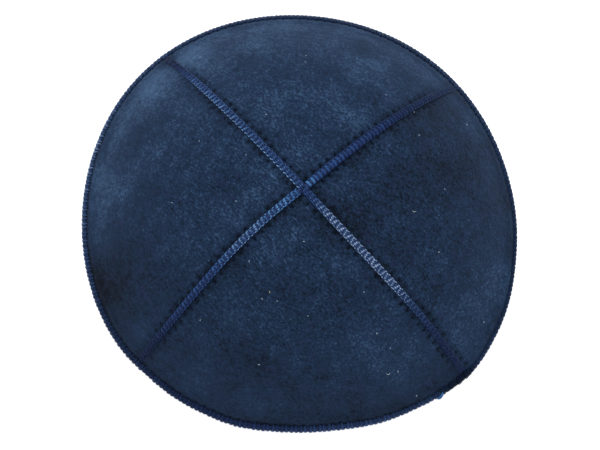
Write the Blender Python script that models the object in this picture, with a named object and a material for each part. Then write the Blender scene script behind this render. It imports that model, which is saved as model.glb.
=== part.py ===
"""A skullcap of four suede panels, joined by raised seams and bound by an overlocked rim.

The cap rests on its rim with its hollow side down. Lengths are in metres and +Z is up. The dome
is worked out about the point where the seams cross, which lies a little off the middle of the
rim. At the end everything hangs on one empty that brings the middle of the rim to X = Y = 0.

Every piece follows one face: the outside of the suede. A point on it is given from above, by X
and Y, and a piece is drawn at a depth below it or a height above it, square to the face.
"""

import math
from collections import namedtuple

import bmesh
import bpy
from mathutils import Vector

# Sizes of the cap
RIM_RADIUS = 0.090          # from the crossing of the seams to the outside of the rim, on average
DOME_RISE = 0.0395          # from the cut edge of the suede up to the crossing
SUEDE_THICKNESS = 0.0014
CLEARANCE = 0.0003          # between pieces that touch on the real cap

# Sizes of the sewing
SEAM_WIDTH = 0.0029         # the raised band of wraps, outside and inside
SEAM_LAYER = 0.0009         # thread over the middle of a seam, on the outside
SEAM_BACKING = 0.0005       # thread over a seam on the inside
SEAM_WEB = 0.0008           # thread that runs down between two panels
SEAM_END_GAP = 0.0005       # from the end of a seam to the wraps of the rim
SEAM_FADE_LENGTH = 0.009    # the last stretch of a seam, which the rim's wraps pull flat
RIM_BITE = 0.0020           # how far the rim's wraps reach in from the cut edge
RIM_LAYER = 0.0006          # thread of the rim's wraps

# Form of the dome, as shares
WALL_POWER = 2.45           # the face falls as this power of the way out: flat top, steep wall
FLARE_START = 0.93          # from here out the edge turns up a little, stretched by its wraps
FLARE_STRENGTH = 5.0
SEAM_FADE_SHARE = 0.55      # how much of its thickness a seam has lost where it ends
SEAM_SHOULDER_SIDE = 0.55   # the shoulder of a seam's rounded top, out from its middle
SEAM_SHOULDER_RISE = 0.88   # and how much of the top's thickness is left there
SEAM_BRINK_RISE = 0.4       # how much is left at the side of the seam
RIM_ROUNDING = 0.55         # how much of the rim's outer corner is taken off
REST_PRESS_SHARE = 0.5      # how much of the rim's lower corner its own weight presses flat

# Mesh steps
PANEL_ROWS = 22
SEAM_STEPS = 20
RIM_STEPS = 104
SLOPE_STEP = 1e-5           # the short way in metres over which the slope of the face is taken
TURN_STEP = 1e-3            # the short share or turn over which a line's direction is taken

# Seen from above, the outside of the rim departs from a circle in whole waves.
# The azimuth is where a wave is highest, in degrees anticlockwise from +X.
Wave = namedtuple("Wave", "name count azimuth share")
OUTLINE_WAVES = (
    Wave("crossing off the middle", 1, 139.0, 0.021),
    Wave("oval", 2, 135.0, 0.0175),
    Wave("three soft corners", 3, 90.0, 0.009),
    Wave("a corner at each seam", 4, 46.0, 0.010),
)

# It also departs from a circle in single stretches.
Stretch = namedtuple("Stretch", "name azimuth half_width share")
OUTLINE_STRETCHES = (
    Stretch("flat stretch by the south-west seam", 227.0, 7.0, -0.007),
    Stretch("full stretch beside it", 253.0, 8.0, 0.009),
    Stretch("flat stretch on the near side", 280.0, 10.0, -0.006),
    Stretch("slack before the corner", 299.0, 7.0, -0.005),
    Stretch("pulled corner at the south-east seam", 317.0, 8.0, 0.009),
    Stretch("slack after the corner", 347.0, 10.0, -0.006),
)

# Each half of a seam ends at its azimuth. It starts beside the crossing, bows to one side, and
# sways to that side first and then to the other. All three are shares of RIM_RADIUS, positive to
# the left, looking outwards.
Arm = namedtuple("Arm", "azimuth start bow sway")
NORTH_EAST = Arm(41.4, -0.003, 0.0, 0.0)
NORTH_WEST = Arm(129.6, 0.0, 0.014, 0.0)
SOUTH_WEST = Arm(222.6, 0.0, -0.004, -0.006)
SOUTH_EAST = Arm(314.8, 0.0, -0.009, -0.004)

# Colours, as linear red, green and blue
SUEDE_NAVY = (0.021, 0.043, 0.091, 1.0)
THREAD_NAVY = (0.013, 0.034, 0.120, 1.0)


def fall(share):
    """How far the face has dropped at this share of the way out, before it is scaled."""
    flare = FLARE_STRENGTH * max(0.0, share - FLARE_START) ** 2
    return share ** WALL_POWER - flare


def edge_slope():
    """The angle of the face below the horizontal where the suede is cut."""
    steepness = (fall(1.0) - fall(1.0 - TURN_STEP)) / TURN_STEP / fall(1.0)
    return math.atan(DOME_RISE * steepness / RIM_RADIUS)


def rim_stand():
    """How far the outside of the rim's wraps lies from the suede."""
    return CLEARANCE + RIM_LAYER


def rim_reach():
    """How far the rim's wraps reach out past the cut edge, seen from above."""
    return rim_stand() * (math.cos(edge_slope()) + math.sin(edge_slope()))


def edge_height():
    """The height of the suede's outer face at its cut edge, over the floor."""
    depth = SUEDE_THICKNESS + rim_stand()
    corner_drop = rim_stand() * math.sin(edge_slope()) + depth * math.cos(edge_slope())
    corner_height = RIM_LAYER * (math.sin(edge_slope()) + math.cos(edge_slope()))
    return corner_drop - REST_PRESS_SHARE * corner_height


def outline_radius(azimuth):
    """From the crossing to the outside of the rim, seen from above."""
    share = 1.0
    for wave in OUTLINE_WAVES:
        share += wave.share * math.cos(wave.count * (azimuth - math.radians(wave.azimuth)))
    for stretch in OUTLINE_STRETCHES:
        away = math.remainder(azimuth - math.radians(stretch.azimuth), math.tau)
        share += stretch.share * math.exp(-(away / math.radians(stretch.half_width)) ** 2)
    return RIM_RADIUS * share


def edge_radius(azimuth):
    """From the crossing to the cut edge of the suede, seen from above."""
    return outline_radius(azimuth) - rim_reach()


def from_above(share, azimuth):
    """X and Y of a point at a share of the way from the crossing to the cut edge."""
    radius = share * edge_radius(azimuth)
    return radius * math.cos(azimuth), radius * math.sin(azimuth)


def face_height(x, y):
    share = math.hypot(x, y) / edge_radius(math.atan2(y, x))
    return edge_height() + DOME_RISE * (1.0 - fall(share) / fall(1.0))


def face_normal(x, y):
    slope_x = (face_height(x + SLOPE_STEP, y) - face_height(x - SLOPE_STEP, y)) / (2 * SLOPE_STEP)
    slope_y = (face_height(x, y + SLOPE_STEP) - face_height(x, y - SLOPE_STEP)) / (2 * SLOPE_STEP)
    return Vector((-slope_x, -slope_y, 1.0)).normalized()


def on_face(x, y, lift=0.0):
    """A point over the outer face of the suede, or under it where the lift is negative."""
    return Vector((x, y, face_height(x, y))) + face_normal(x, y) * lift


def arm_swing(arm, share):
    """How far a seam lies beside the straight line to its end, as a share of RIM_RADIUS."""
    bowed = arm.start * (1.0 - share) + arm.bow * math.sin(math.pi * share)
    return bowed + arm.sway * math.sin(math.tau * share)


def arm_azimuth(arm, share, beside=0.0):
    """Where a seam, or a line beside it, lies at a share of the way out."""
    end = math.radians(arm.azimuth)
    across = arm_swing(arm, share) * RIM_RADIUS + beside
    return end + math.asin(across / (share * edge_radius(end)))


def half_slot():
    """From the middle of a seam to the suede on either side of its web."""
    return SEAM_WEB / 2 + CLEARANCE


def bite_share():
    """The share of the way out at which the rim's wraps begin."""
    return 1.0 - RIM_BITE * math.cos(edge_slope()) / RIM_RADIUS


def seam_end_share():
    return bite_share() - SEAM_END_GAP / RIM_RADIUS


def new_material(name, colour, roughness):
    material = bpy.data.materials.new(name)
    material.use_nodes = True
    shader = material.node_tree.nodes["Principled BSDF"]
    shader.inputs["Base Color"].default_value = colour
    shader.inputs["Roughness"].default_value = roughness
    shader.inputs["Metallic"].default_value = 0.0
    material.diffuse_color = colour
    return material


def new_object(name, shape, material, parent, sharp_degrees):
    """Turn a bmesh into an object that hangs on the cap's empty."""
    bmesh.ops.recalc_face_normals(shape, faces=shape.faces)
    mesh = bpy.data.meshes.new(name)
    shape.to_mesh(mesh)
    shape.free()
    mesh.shade_smooth()
    mesh.set_sharp_from_angle(angle=math.radians(sharp_degrees))
    mesh.materials.append(material)
    piece = bpy.data.objects.new(name, mesh)
    piece.parent = parent
    bpy.context.collection.objects.link(piece)
    return piece


def loft(rings, closed):
    """Skin a run of rings. The ends are capped, or the last ring is joined to the first."""
    shape = bmesh.new()
    loops = [[shape.verts.new(point) for point in ring] for ring in rings]
    pairs = list(zip(loops, loops[1:]))
    if closed:
        pairs.append((loops[-1], loops[0]))
    else:
        shape.faces.new(loops[0])
        shape.faces.new(loops[-1])
    for ring, after in pairs:
        for index, point in enumerate(ring):
            ahead = (index + 1) % len(ring)
            shape.faces.new((point, ring[ahead], after[ahead], after[index]))
    return shape


def panel_row(first, second, share, columns):
    """Points across a panel at one share of the way out, from one seam's slot to the next."""
    start = arm_azimuth(first, share, half_slot())
    end = arm_azimuth(second, share, -half_slot())
    if end < start:
        end += math.tau
    row = []
    for column in range(columns + 1):
        azimuth = start + (end - start) * column / columns
        row.append(on_face(*from_above(share, azimuth)))
    return row


def panel_tip(first, second):
    """The point of a panel, where the slots of its two seams meet."""
    lines = []
    for arm, beside in ((first, half_slot()), (second, -half_slot())):
        heading = (math.radians(arm.azimuth) + math.pi * arm.bow + math.tau * arm.sway
                   - arm.start)
        lines.append((-math.sin(heading), math.cos(heading), arm.start * RIM_RADIUS + beside))
    (ax, ay, a), (bx, by, b) = lines
    spread = ax * by - ay * bx
    return on_face((a * by - b * ay) / spread, (ax * b - bx * a) / spread)


def make_panel(name, first, second, material, parent):
    """One suede panel, as a sheet of triangles that is given its thickness inwards."""
    shape = bmesh.new()
    shares = [bite_share() * row / PANEL_ROWS for row in range(1, PANEL_ROWS + 1)]
    rows = [[shape.verts.new(panel_tip(first, second))]]
    for columns, share in enumerate(shares, start=1):
        rows.append([shape.verts.new(point) for point in panel_row(first, second, share, columns)])
    for inner, outer in zip(rows, rows[1:]):
        for index, point in enumerate(inner):
            shape.faces.new((point, outer[index], outer[index + 1]))
            if index + 1 < len(inner):
                shape.faces.new((point, outer[index + 1], inner[index + 1]))
    for share in ((1.0 + bite_share()) / 2, 1.0):
        edge = [shape.verts.new(point) for point in panel_row(first, second, share, PANEL_ROWS)]
        for index in range(PANEL_ROWS):
            shape.faces.new((rows[-1][index], edge[index], edge[index + 1], rows[-1][index + 1]))
        rows.append(edge)
    panel = new_object(name, shape, material, parent, sharp_degrees=30)
    thickness = panel.modifiers.new("suede", "SOLIDIFY")
    thickness.thickness = SUEDE_THICKNESS
    thickness.offset = -1.0
    thickness.use_even_offset = True
    return panel


def seam_section(layer):
    """Half of a seam's section, from the middle of its top down to its backing.

    It is an I: a rounded band over the suede, a web between two panels and a flat band inside.
    """
    half = SEAM_WIDTH / 2
    web = SEAM_WEB / 2
    over = CLEARANCE
    under = -SUEDE_THICKNESS - CLEARANCE
    return (
        (0.0, over + layer),
        (SEAM_SHOULDER_SIDE * half, over + SEAM_SHOULDER_RISE * layer),
        (half, over + SEAM_BRINK_RISE * layer),
        (half, over),
        (web, over),
        (web, under),
        (half, under),
        (half, under - SEAM_BACKING),
    )


def seam_ring(x, y, along_x, along_y, layer):
    """The section of a seam at a point seen from above, across the way that it runs."""
    half_section = seam_section(layer)
    other_half = [(-side, lift) for side, lift in reversed(half_section[1:])]
    sideways = Vector((-along_y, along_x, 0.0))
    normal = face_normal(x, y)
    middle = on_face(x, y)
    return [middle + sideways * side + normal * lift
            for side, lift in list(half_section) + other_half]


def arm_point(arm, share):
    """X and Y of a point along a seam."""
    return from_above(share, arm_azimuth(arm, share))


def arm_rings(arm, start_share, outward):
    """Sections along one arm, from the crossing outwards or the other way."""
    end_share = seam_end_share()
    fade_share = SEAM_FADE_LENGTH / RIM_RADIUS
    rings = []
    for step in range(SEAM_STEPS + 1):
        share = start_share + (end_share - start_share) * step / SEAM_STEPS
        x, y = arm_point(arm, share)
        ahead_x, ahead_y = arm_point(arm, share + TURN_STEP)
        run = math.hypot(ahead_x - x, ahead_y - y)
        if not outward:
            run = -run
        faded = max(0.0, 1.0 - (end_share - share) / fade_share)
        layer = SEAM_LAYER * (1.0 - SEAM_FADE_SHARE * faded ** 2)
        rings.append(seam_ring(x, y, (ahead_x - x) / run, (ahead_y - y) / run, layer))
    return rings if outward else rings[::-1]


def make_long_seam(name, first, second, material, parent):
    """The seam that runs unbroken over the crossing, from one rim to the other."""
    first_rings = arm_rings(first, 1.0 / SEAM_STEPS, outward=False)
    second_rings = arm_rings(second, 1.0 / SEAM_STEPS, outward=True)
    shape = loft(first_rings + second_rings, closed=False)
    return new_object(name, shape, material, parent, sharp_degrees=50)


def make_cross_seam(name, arm, material, parent):
    """A seam that ends against the side of the long one."""
    start_share = (SEAM_WIDTH / 2 + CLEARANCE) / edge_radius(math.radians(arm.azimuth))
    shape = loft(arm_rings(arm, start_share, outward=True), closed=False)
    return new_object(name, shape, material, parent, sharp_degrees=50)


def meet_floor(high, low):
    """Where the line from a point above the floor to a point below it comes to the floor."""
    point = high.lerp(low, high.z / (high.z - low.z))
    point.z = 0.0
    return point


def rim_ring(azimuth):
    """The section of the rim: a channel of thread over the suede's cut edge, pressed flat below."""
    over = CLEARANCE
    outside = rim_stand()
    under = -SUEDE_THICKNESS - CLEARANCE
    inside = -SUEDE_THICKNESS - rim_stand()
    start = from_above(bite_share(), azimuth)
    middle = from_above((1.0 + bite_share()) / 2, azimuth)
    edge = from_above(1.0, azimuth)
    before = on_face(*from_above(1.0, azimuth - TURN_STEP))
    after = on_face(*from_above(1.0, azimuth + TURN_STEP))
    normal = face_normal(*edge)
    outwards = (after - before).normalized().cross(normal)
    corner_over = on_face(*edge, outside) + outwards * outside
    corner_under = on_face(*edge, inside) + outwards * outside
    return [
        on_face(*start, over),
        on_face(*start, outside),
        on_face(*middle, outside),
        on_face(*edge, outside).lerp(corner_over, 1.0 - RIM_ROUNDING),
        corner_over - normal * RIM_ROUNDING * outside,
        meet_floor(corner_over, corner_under),
        meet_floor(on_face(*edge, inside), corner_under),
        on_face(*middle, inside),
        on_face(*start, inside),
        on_face(*start, under),
        on_face(*middle, under),
        on_face(*edge, under) + outwards * over,
        on_face(*edge, over) + outwards * over,
        on_face(*middle, over),
    ]


def make_rim(name, material, parent):
    rings = [rim_ring(math.tau * step / RIM_STEPS) for step in range(RIM_STEPS)]
    return new_object(name, loft(rings, closed=True), material, parent, sharp_degrees=50)


def clear_scene():
    for leftover in list(bpy.data.objects):
        bpy.data.objects.remove(leftover, do_unlink=True)


def centre_over_origin(empty, rim):
    """Bring the middle of the rim's outline to X = Y = 0."""
    xs = [vertex.co.x for vertex in rim.data.vertices]
    ys = [vertex.co.y for vertex in rim.data.vertices]
    empty.location = (-(min(xs) + max(xs)) / 2, -(min(ys) + max(ys)) / 2, 0.0)


def build():
    clear_scene()
    suede = new_material("navy suede", SUEDE_NAVY, 0.95)
    thread = new_material("navy thread", THREAD_NAVY, 0.55)
    cap = bpy.data.objects.new("cap", None)
    bpy.context.collection.objects.link(cap)

    make_panel("panel_north", NORTH_EAST, NORTH_WEST, suede, cap)
    make_panel("panel_west", NORTH_WEST, SOUTH_WEST, suede, cap)
    make_panel("panel_south", SOUTH_WEST, SOUTH_EAST, suede, cap)
    make_panel("panel_east", SOUTH_EAST, NORTH_EAST, suede, cap)
    make_long_seam("long_seam", NORTH_WEST, SOUTH_EAST, thread, cap)
    make_cross_seam("cross_seam_north_east", NORTH_EAST, thread, cap)
    make_cross_seam("cross_seam_south_west", SOUTH_WEST, thread, cap)
    rim = make_rim("rim_overlock", thread, cap)
    centre_over_origin(cap, rim)
    bpy.context.view_layer.update()


build()
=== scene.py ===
# %% [markdown]
# # A navy suede skullcap, sewn from four panels
# The cap is a shallow dome of four suede panels. Raised seams of blue thread cross over its top,
# and an overlocked rim binds the cut edge. This lesson dresses the plain solids of the frame:
# suede that dips at each stitch, seams and rim of single wraps of thread, and studio light.
# Everything is worked out in metres by numpy, because a cap holds thousands of wraps, and a loop
# over Blender's own operators would take minutes where an array takes a moment.

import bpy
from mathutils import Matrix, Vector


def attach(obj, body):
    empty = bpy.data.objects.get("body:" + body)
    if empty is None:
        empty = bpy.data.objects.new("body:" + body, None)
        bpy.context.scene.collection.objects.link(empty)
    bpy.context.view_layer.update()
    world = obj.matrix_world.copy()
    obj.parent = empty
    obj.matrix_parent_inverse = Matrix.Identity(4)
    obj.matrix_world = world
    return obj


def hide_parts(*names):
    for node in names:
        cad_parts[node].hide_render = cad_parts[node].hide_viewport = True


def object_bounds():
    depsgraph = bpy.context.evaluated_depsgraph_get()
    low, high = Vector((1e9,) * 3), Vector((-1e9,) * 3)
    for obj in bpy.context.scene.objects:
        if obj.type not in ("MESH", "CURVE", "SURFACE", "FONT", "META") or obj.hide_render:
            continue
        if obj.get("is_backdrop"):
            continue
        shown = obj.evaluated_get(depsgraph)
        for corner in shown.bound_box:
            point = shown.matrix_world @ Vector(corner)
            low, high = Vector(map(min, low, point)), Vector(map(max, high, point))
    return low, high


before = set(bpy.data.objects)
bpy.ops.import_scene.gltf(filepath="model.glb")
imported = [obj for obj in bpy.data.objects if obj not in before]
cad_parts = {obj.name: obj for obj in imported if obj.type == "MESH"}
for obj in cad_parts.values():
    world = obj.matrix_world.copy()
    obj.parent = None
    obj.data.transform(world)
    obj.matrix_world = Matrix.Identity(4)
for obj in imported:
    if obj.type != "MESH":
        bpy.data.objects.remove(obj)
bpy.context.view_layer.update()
print("solids:", ", ".join(sorted(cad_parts)))

# %% Tools used all through
import math
from collections import namedtuple

import bpy
import numpy as np
from mathutils import Vector

MM = 0.001

# %% [markdown]
# ## Camera first
# The photograph looks down on the cap from its near side. The height of the view comes from how
# much the rim's circle is squeezed, and the lens from how large the cap is in the picture. The
# camera comes before the modelling, so that each piece can be judged in the same view.

# %% Camera
VIEW_ELEVATION = math.radians(74.2)
VIEW_DISTANCE = 0.45
VIEW_LENS = 66.15           # millimetres, on a sensor 36 mm wide
VIEW_TARGET = Vector((0.00037, -0.00471, 0.0))
PICTURE_WIDTH = 600
PICTURE_HEIGHT = 450


def make_camera():
    camera = bpy.data.objects.new("camera", bpy.data.cameras.new("camera"))
    bpy.context.collection.objects.link(camera)
    back = Vector((0.0, -math.cos(VIEW_ELEVATION), math.sin(VIEW_ELEVATION)))
    camera.location = VIEW_TARGET + back * VIEW_DISTANCE
    camera.rotation_euler = (-back).to_track_quat("-Z", "Y").to_euler()
    camera.data.lens = VIEW_LENS
    camera.data.sensor_width = 36.0
    camera.data.clip_start = 0.01
    camera.data.clip_end = 20.0
    bpy.context.scene.camera = camera
    return camera


camera = make_camera()
print("camera at", [round(value, 4) for value in camera.location])

# %% [markdown]
# ## The face of the dome
# All the pieces follow one face, the outside of the suede. The frame's solids were drawn from the
# same rule: a flat top, a wall that steepens outwards, an edge that turns up a little, and an
# outline that departs from a circle in a few waves. With the rule at hand, any point of the face
# can be asked for, which a mesh alone can't give.

# %% Sizes of the cap, as the frame has them
CROSSING = np.array((0.001464, -0.002201, 0.0))   # where the seams cross, in the frame
RIM_RADIUS = 0.090
DOME_RISE = 0.0395
SUEDE_THICKNESS = 0.0014
CLEARANCE = 0.0003
SEAM_WIDTH = 0.0029
SEAM_LAYER = 0.0009
SEAM_WEB = 0.0008
SEAM_END_GAP = 0.0005
SEAM_FADE_LENGTH = 0.009
SEAM_FADE_SHARE = 0.55
RIM_BITE = 0.0020
RIM_LAYER = 0.0006
WALL_POWER = 2.45
FLARE_START = 0.93
FLARE_STRENGTH = 5.0
REST_PRESS_SHARE = 0.5
SLOPE_STEP = 1e-5
TURN_STEP = 1e-3

Wave = namedtuple("Wave", "name count azimuth share")
OUTLINE_WAVES = (
    Wave("crossing off the middle", 1, 139.0, 0.021),
    Wave("oval", 2, 135.0, 0.0175),
    Wave("three soft corners", 3, 90.0, 0.009),
    Wave("a corner at each seam", 4, 46.0, 0.010),
)
Stretch = namedtuple("Stretch", "name azimuth half_width share")
OUTLINE_STRETCHES = (
    Stretch("flat stretch by the south-west seam", 227.0, 7.0, -0.007),
    Stretch("full stretch beside it", 253.0, 8.0, 0.009),
    Stretch("flat stretch on the near side", 280.0, 10.0, -0.006),
    Stretch("slack before the corner", 299.0, 7.0, -0.005),
    Stretch("pulled corner at the south-east seam", 317.0, 8.0, 0.009),
    Stretch("slack after the corner", 347.0, 10.0, -0.006),
)
# A seam starts a little beside the crossing, bows to one side and sways to both, in shares of
# RIM_RADIUS. Slack is the share of their pull that its stitches have lost by the time it ends.
Arm = namedtuple("Arm", "azimuth start bow sway slack")
NORTH_EAST = Arm(41.4, -0.003, 0.0, 0.0, 0.90)
NORTH_WEST = Arm(129.6, 0.0, 0.014, 0.0, 0.85)
SOUTH_WEST = Arm(222.6, 0.0, -0.004, -0.006, 0.60)
SOUTH_EAST = Arm(314.8, 0.0, -0.009, -0.004, 0.30)
ARMS = (NORTH_EAST, NORTH_WEST, SOUTH_WEST, SOUTH_EAST)
print("outline:", len(OUTLINE_WAVES), "waves and", len(OUTLINE_STRETCHES), "stretches")


# %% The rule of the dome
def fall(share):
    """How far the face has dropped at this share of the way out, before it is scaled."""
    return share ** WALL_POWER - FLARE_STRENGTH * np.maximum(0.0, share - FLARE_START) ** 2


def turn_between(azimuth, degrees):
    """The shorter turn from an azimuth in degrees to others in radians."""
    return np.remainder(azimuth - math.radians(degrees) + math.pi, math.tau) - math.pi


def outline_radius(azimuth):
    """From the crossing to the outside of the rim, seen from above."""
    share = 1.0
    for wave in OUTLINE_WAVES:
        share = share + wave.share * np.cos(wave.count * (azimuth - math.radians(wave.azimuth)))
    for stretch in OUTLINE_STRETCHES:
        away = turn_between(azimuth, stretch.azimuth) / math.radians(stretch.half_width)
        share = share + stretch.share * np.exp(-away ** 2)
    return RIM_RADIUS * share


EDGE_STEEPNESS = (fall(1.0) - fall(1.0 - TURN_STEP)) / TURN_STEP / fall(1.0)
EDGE_SLOPE = math.atan(DOME_RISE * EDGE_STEEPNESS / RIM_RADIUS)
RIM_STAND = CLEARANCE + RIM_LAYER
RIM_REACH = RIM_STAND * (math.cos(EDGE_SLOPE) + math.sin(EDGE_SLOPE))
EDGE_HEIGHT = (RIM_STAND * math.sin(EDGE_SLOPE)
               + (SUEDE_THICKNESS + RIM_STAND) * math.cos(EDGE_SLOPE)
               - REST_PRESS_SHARE * RIM_LAYER * (math.sin(EDGE_SLOPE) + math.cos(EDGE_SLOPE)))
BITE_SHARE = 1.0 - RIM_BITE * math.cos(EDGE_SLOPE) / RIM_RADIUS
SEAM_END_SHARE = BITE_SHARE - SEAM_END_GAP / RIM_RADIUS
HALF_SLOT = SEAM_WEB / 2 + CLEARANCE
print("slope at the cut edge:", round(math.degrees(EDGE_SLOPE), 2), "degrees")


# %% Points of the face
def edge_radius(azimuth):
    """From the crossing to the cut edge of the suede, seen from above."""
    return outline_radius(azimuth) - RIM_REACH


def share_at(x, y):
    return np.hypot(x, y) / edge_radius(np.arctan2(y, x))


def face_height(x, y):
    return EDGE_HEIGHT + DOME_RISE * (1.0 - fall(share_at(x, y)) / fall(1.0))


def unit(vectors):
    return vectors / np.linalg.norm(vectors, axis=-1, keepdims=True)


def face_normal(x, y):
    slope_x = (face_height(x + SLOPE_STEP, y) - face_height(x - SLOPE_STEP, y)) / (2 * SLOPE_STEP)
    slope_y = (face_height(x, y + SLOPE_STEP) - face_height(x, y - SLOPE_STEP)) / (2 * SLOPE_STEP)
    return unit(np.stack((-slope_x, -slope_y, np.ones_like(slope_x)), axis=-1))


def on_face(x, y, lift):
    """Points of the frame over the suede's outer face, or under it where the lift is negative."""
    ground = np.stack((x, y, face_height(x, y)), axis=-1) + CROSSING
    return ground + face_normal(x, y) * np.asarray(lift)[..., None]


print("top of the dome:", round(float(face_height(0.0, 0.0)) / MM, 2), "mm")


# %% Paths of the seams
def arm_swing(arm, share):
    """How far a seam lies beside the straight line to its end, as a share of RIM_RADIUS."""
    bowed = arm.start * (1.0 - share) + arm.bow * np.sin(math.pi * share)
    return bowed + arm.sway * np.sin(math.tau * share)


def arm_azimuth(arm, share, beside=0.0):
    """Where a seam, or a line beside it, lies at a share of the way out."""
    end = math.radians(arm.azimuth)
    across = arm_swing(arm, share) * RIM_RADIUS + beside
    return end + np.arcsin(across / (share * edge_radius(end)))


for arm in ARMS:
    swing = arm_swing(arm, 0.5) * RIM_RADIUS / MM
    print("seam at", arm.azimuth, "degrees, halfway out it swings", round(swing, 2), "mm")


# %% Compare the rule with the frame's panels
def distance_from_frame():
    """How far the rule lies from the outer faces of the frame's panels, at their corners."""
    worst = 0.0
    for name in ("panel_north", "panel_east", "panel_south", "panel_west"):
        corners = np.array([vertex.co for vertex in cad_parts[name].data.vertices])
        away = corners - CROSSING
        depth = np.abs(away[:, 2] - face_height(away[:, 0], away[:, 1]))
        worst = max(worst, depth[depth < SUEDE_THICKNESS / 3].max())
    return worst


print("largest distance from the frame:", round(distance_from_frame() / MM, 4), "mm")

# %% [markdown]
# ## From array to mesh
# Each piece is first an array of points, then a mesh. Blender takes both points and faces in one
# call, which is quick. Numbers that belong to a point, such as how light the suede is drawn there,
# painted light and shade included, travel with the mesh as named attributes, and the materials read
# them. A function does all this, and prints how many triangles each piece has when it is made.


# %% Make an object from arrays
def new_piece(name, points, faces, material, slot, **attributes):
    """A smooth mesh object that rides with the cap and carries one number a point per attribute."""
    mesh = bpy.data.meshes.new(name)
    mesh.from_pydata(points.tolist(), [], faces.tolist() if hasattr(faces, "tolist") else faces)
    mesh.shade_smooth()
    mesh.materials.append(material)
    for key, values in attributes.items():
        layer = mesh.attributes.new(key, "FLOAT", "POINT")
        layer.data.foreach_set("value", np.asarray(values, dtype=np.float32).ravel())
    piece = bpy.data.objects.new(name, mesh)
    bpy.context.collection.objects.link(piece)
    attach(piece, "root")
    triangles = sum(len(face.vertices) - 2 for face in mesh.polygons)
    print(f"{name}: {triangles} triangles")
    return piece


# %% [markdown]
# ## Colour and nodes
# Colours are picked as sRGB hex values, the way a paint program shows them. Blender mixes light in
# linear values, so one function turns the one into the other. One small helper adds a shader node
# with its settings and inputs, and an input may be a plain value or another node's output.

# %% Helpers for materials
MIX_A = 6                   # the Mix node's colour inputs and output, by their place
MIX_B = 7
MIX_OUT = 2


def linear(hex_code):
    """An sRGB hex value as linear red, green, blue and alpha."""
    shares = [int(hex_code[place:place + 2], 16) / 255 for place in (1, 3, 5)]
    return [s / 12.92 if s <= 0.04045 else ((s + 0.055) / 1.055) ** 2.4 for s in shares] + [1.0]


def add_node(tree, kind, settings=None, inputs=None):
    """Add a node. Its inputs are values, or sockets that get linked."""
    node = tree.nodes.new(kind)
    for key, value in (settings or {}).items():
        setattr(node, key, value)
    for key, value in (inputs or {}).items():
        if isinstance(value, bpy.types.NodeSocket):
            tree.links.new(value, node.inputs[key])
        else:
            node.inputs[key].default_value = value
    return node


def per_metre(millimetres):
    """The Scale of a texture whose pattern repeats about once in so many millimetres."""
    return 1.0 / (millimetres * MM)


def new_material(name):
    material = bpy.data.materials.new(name)
    material.use_nodes = True
    return material, material.node_tree, material.node_tree.nodes["Principled BSDF"]


print("mid grey as linear light:", round(linear("#808080")[0], 3))

# %% [markdown]
# ## Suede
# Suede is the brushed flesh side of a hide. Its nap is a pile of short fibres that lies one way
# here and another way there, so one dyed colour looks light in one patch and dark in the next.
# It has no gloss at all, only a soft sheen where the fibre tips catch light from the side.
# One noise gives the blotches of a thumb's width, one the flecks of about two millimetres, and a
# fine one the grain. All three are stretched along the strokes of the brush. Real fibres are 0.1 mm
# thick, too fine for this picture, so the grain is drawn at 0.7 mm. Two numbers on each point of
# the mesh steer them: one says how light the pile lies and also carries painted light and painted
# shade, and coarse says how open it stands.
# The dye has taken unevenly, so a little plum and teal drift through the navy.

# %% Suede material
SUEDE_DARK = "#070e19"
SUEDE_BASE = "#1d314c"
SUEDE_LIGHT = "#476486"
SUEDE_PLUM = "#262e50"
SUEDE_TEAL = "#17323c"
BLOTCH_MM = 16.0
FLECK_MM = 2.2
GRAIN_MM = 0.70
BRUSHED_WAY = math.radians(45.0)    # from the y axis towards -x: the strokes of the brush
BRUSHED_LENGTH = 1.7                # how much longer than wide a fleck is along them

# How much each noise changes the tone, on smooth suede and on coarse
BLOTCH_WEIGHTS = (0.18, 0.18)
FLECK_WEIGHTS = (0.35, 0.50)
GRAIN_WEIGHTS = (0.50, 1.4)

Drift = namedtuple("Drift", "hex_code size_mm strength")
DRIFTS = (Drift(SUEDE_PLUM, 3.1, 0.34), Drift(SUEDE_TEAL, 4.3, 0.15))


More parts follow.
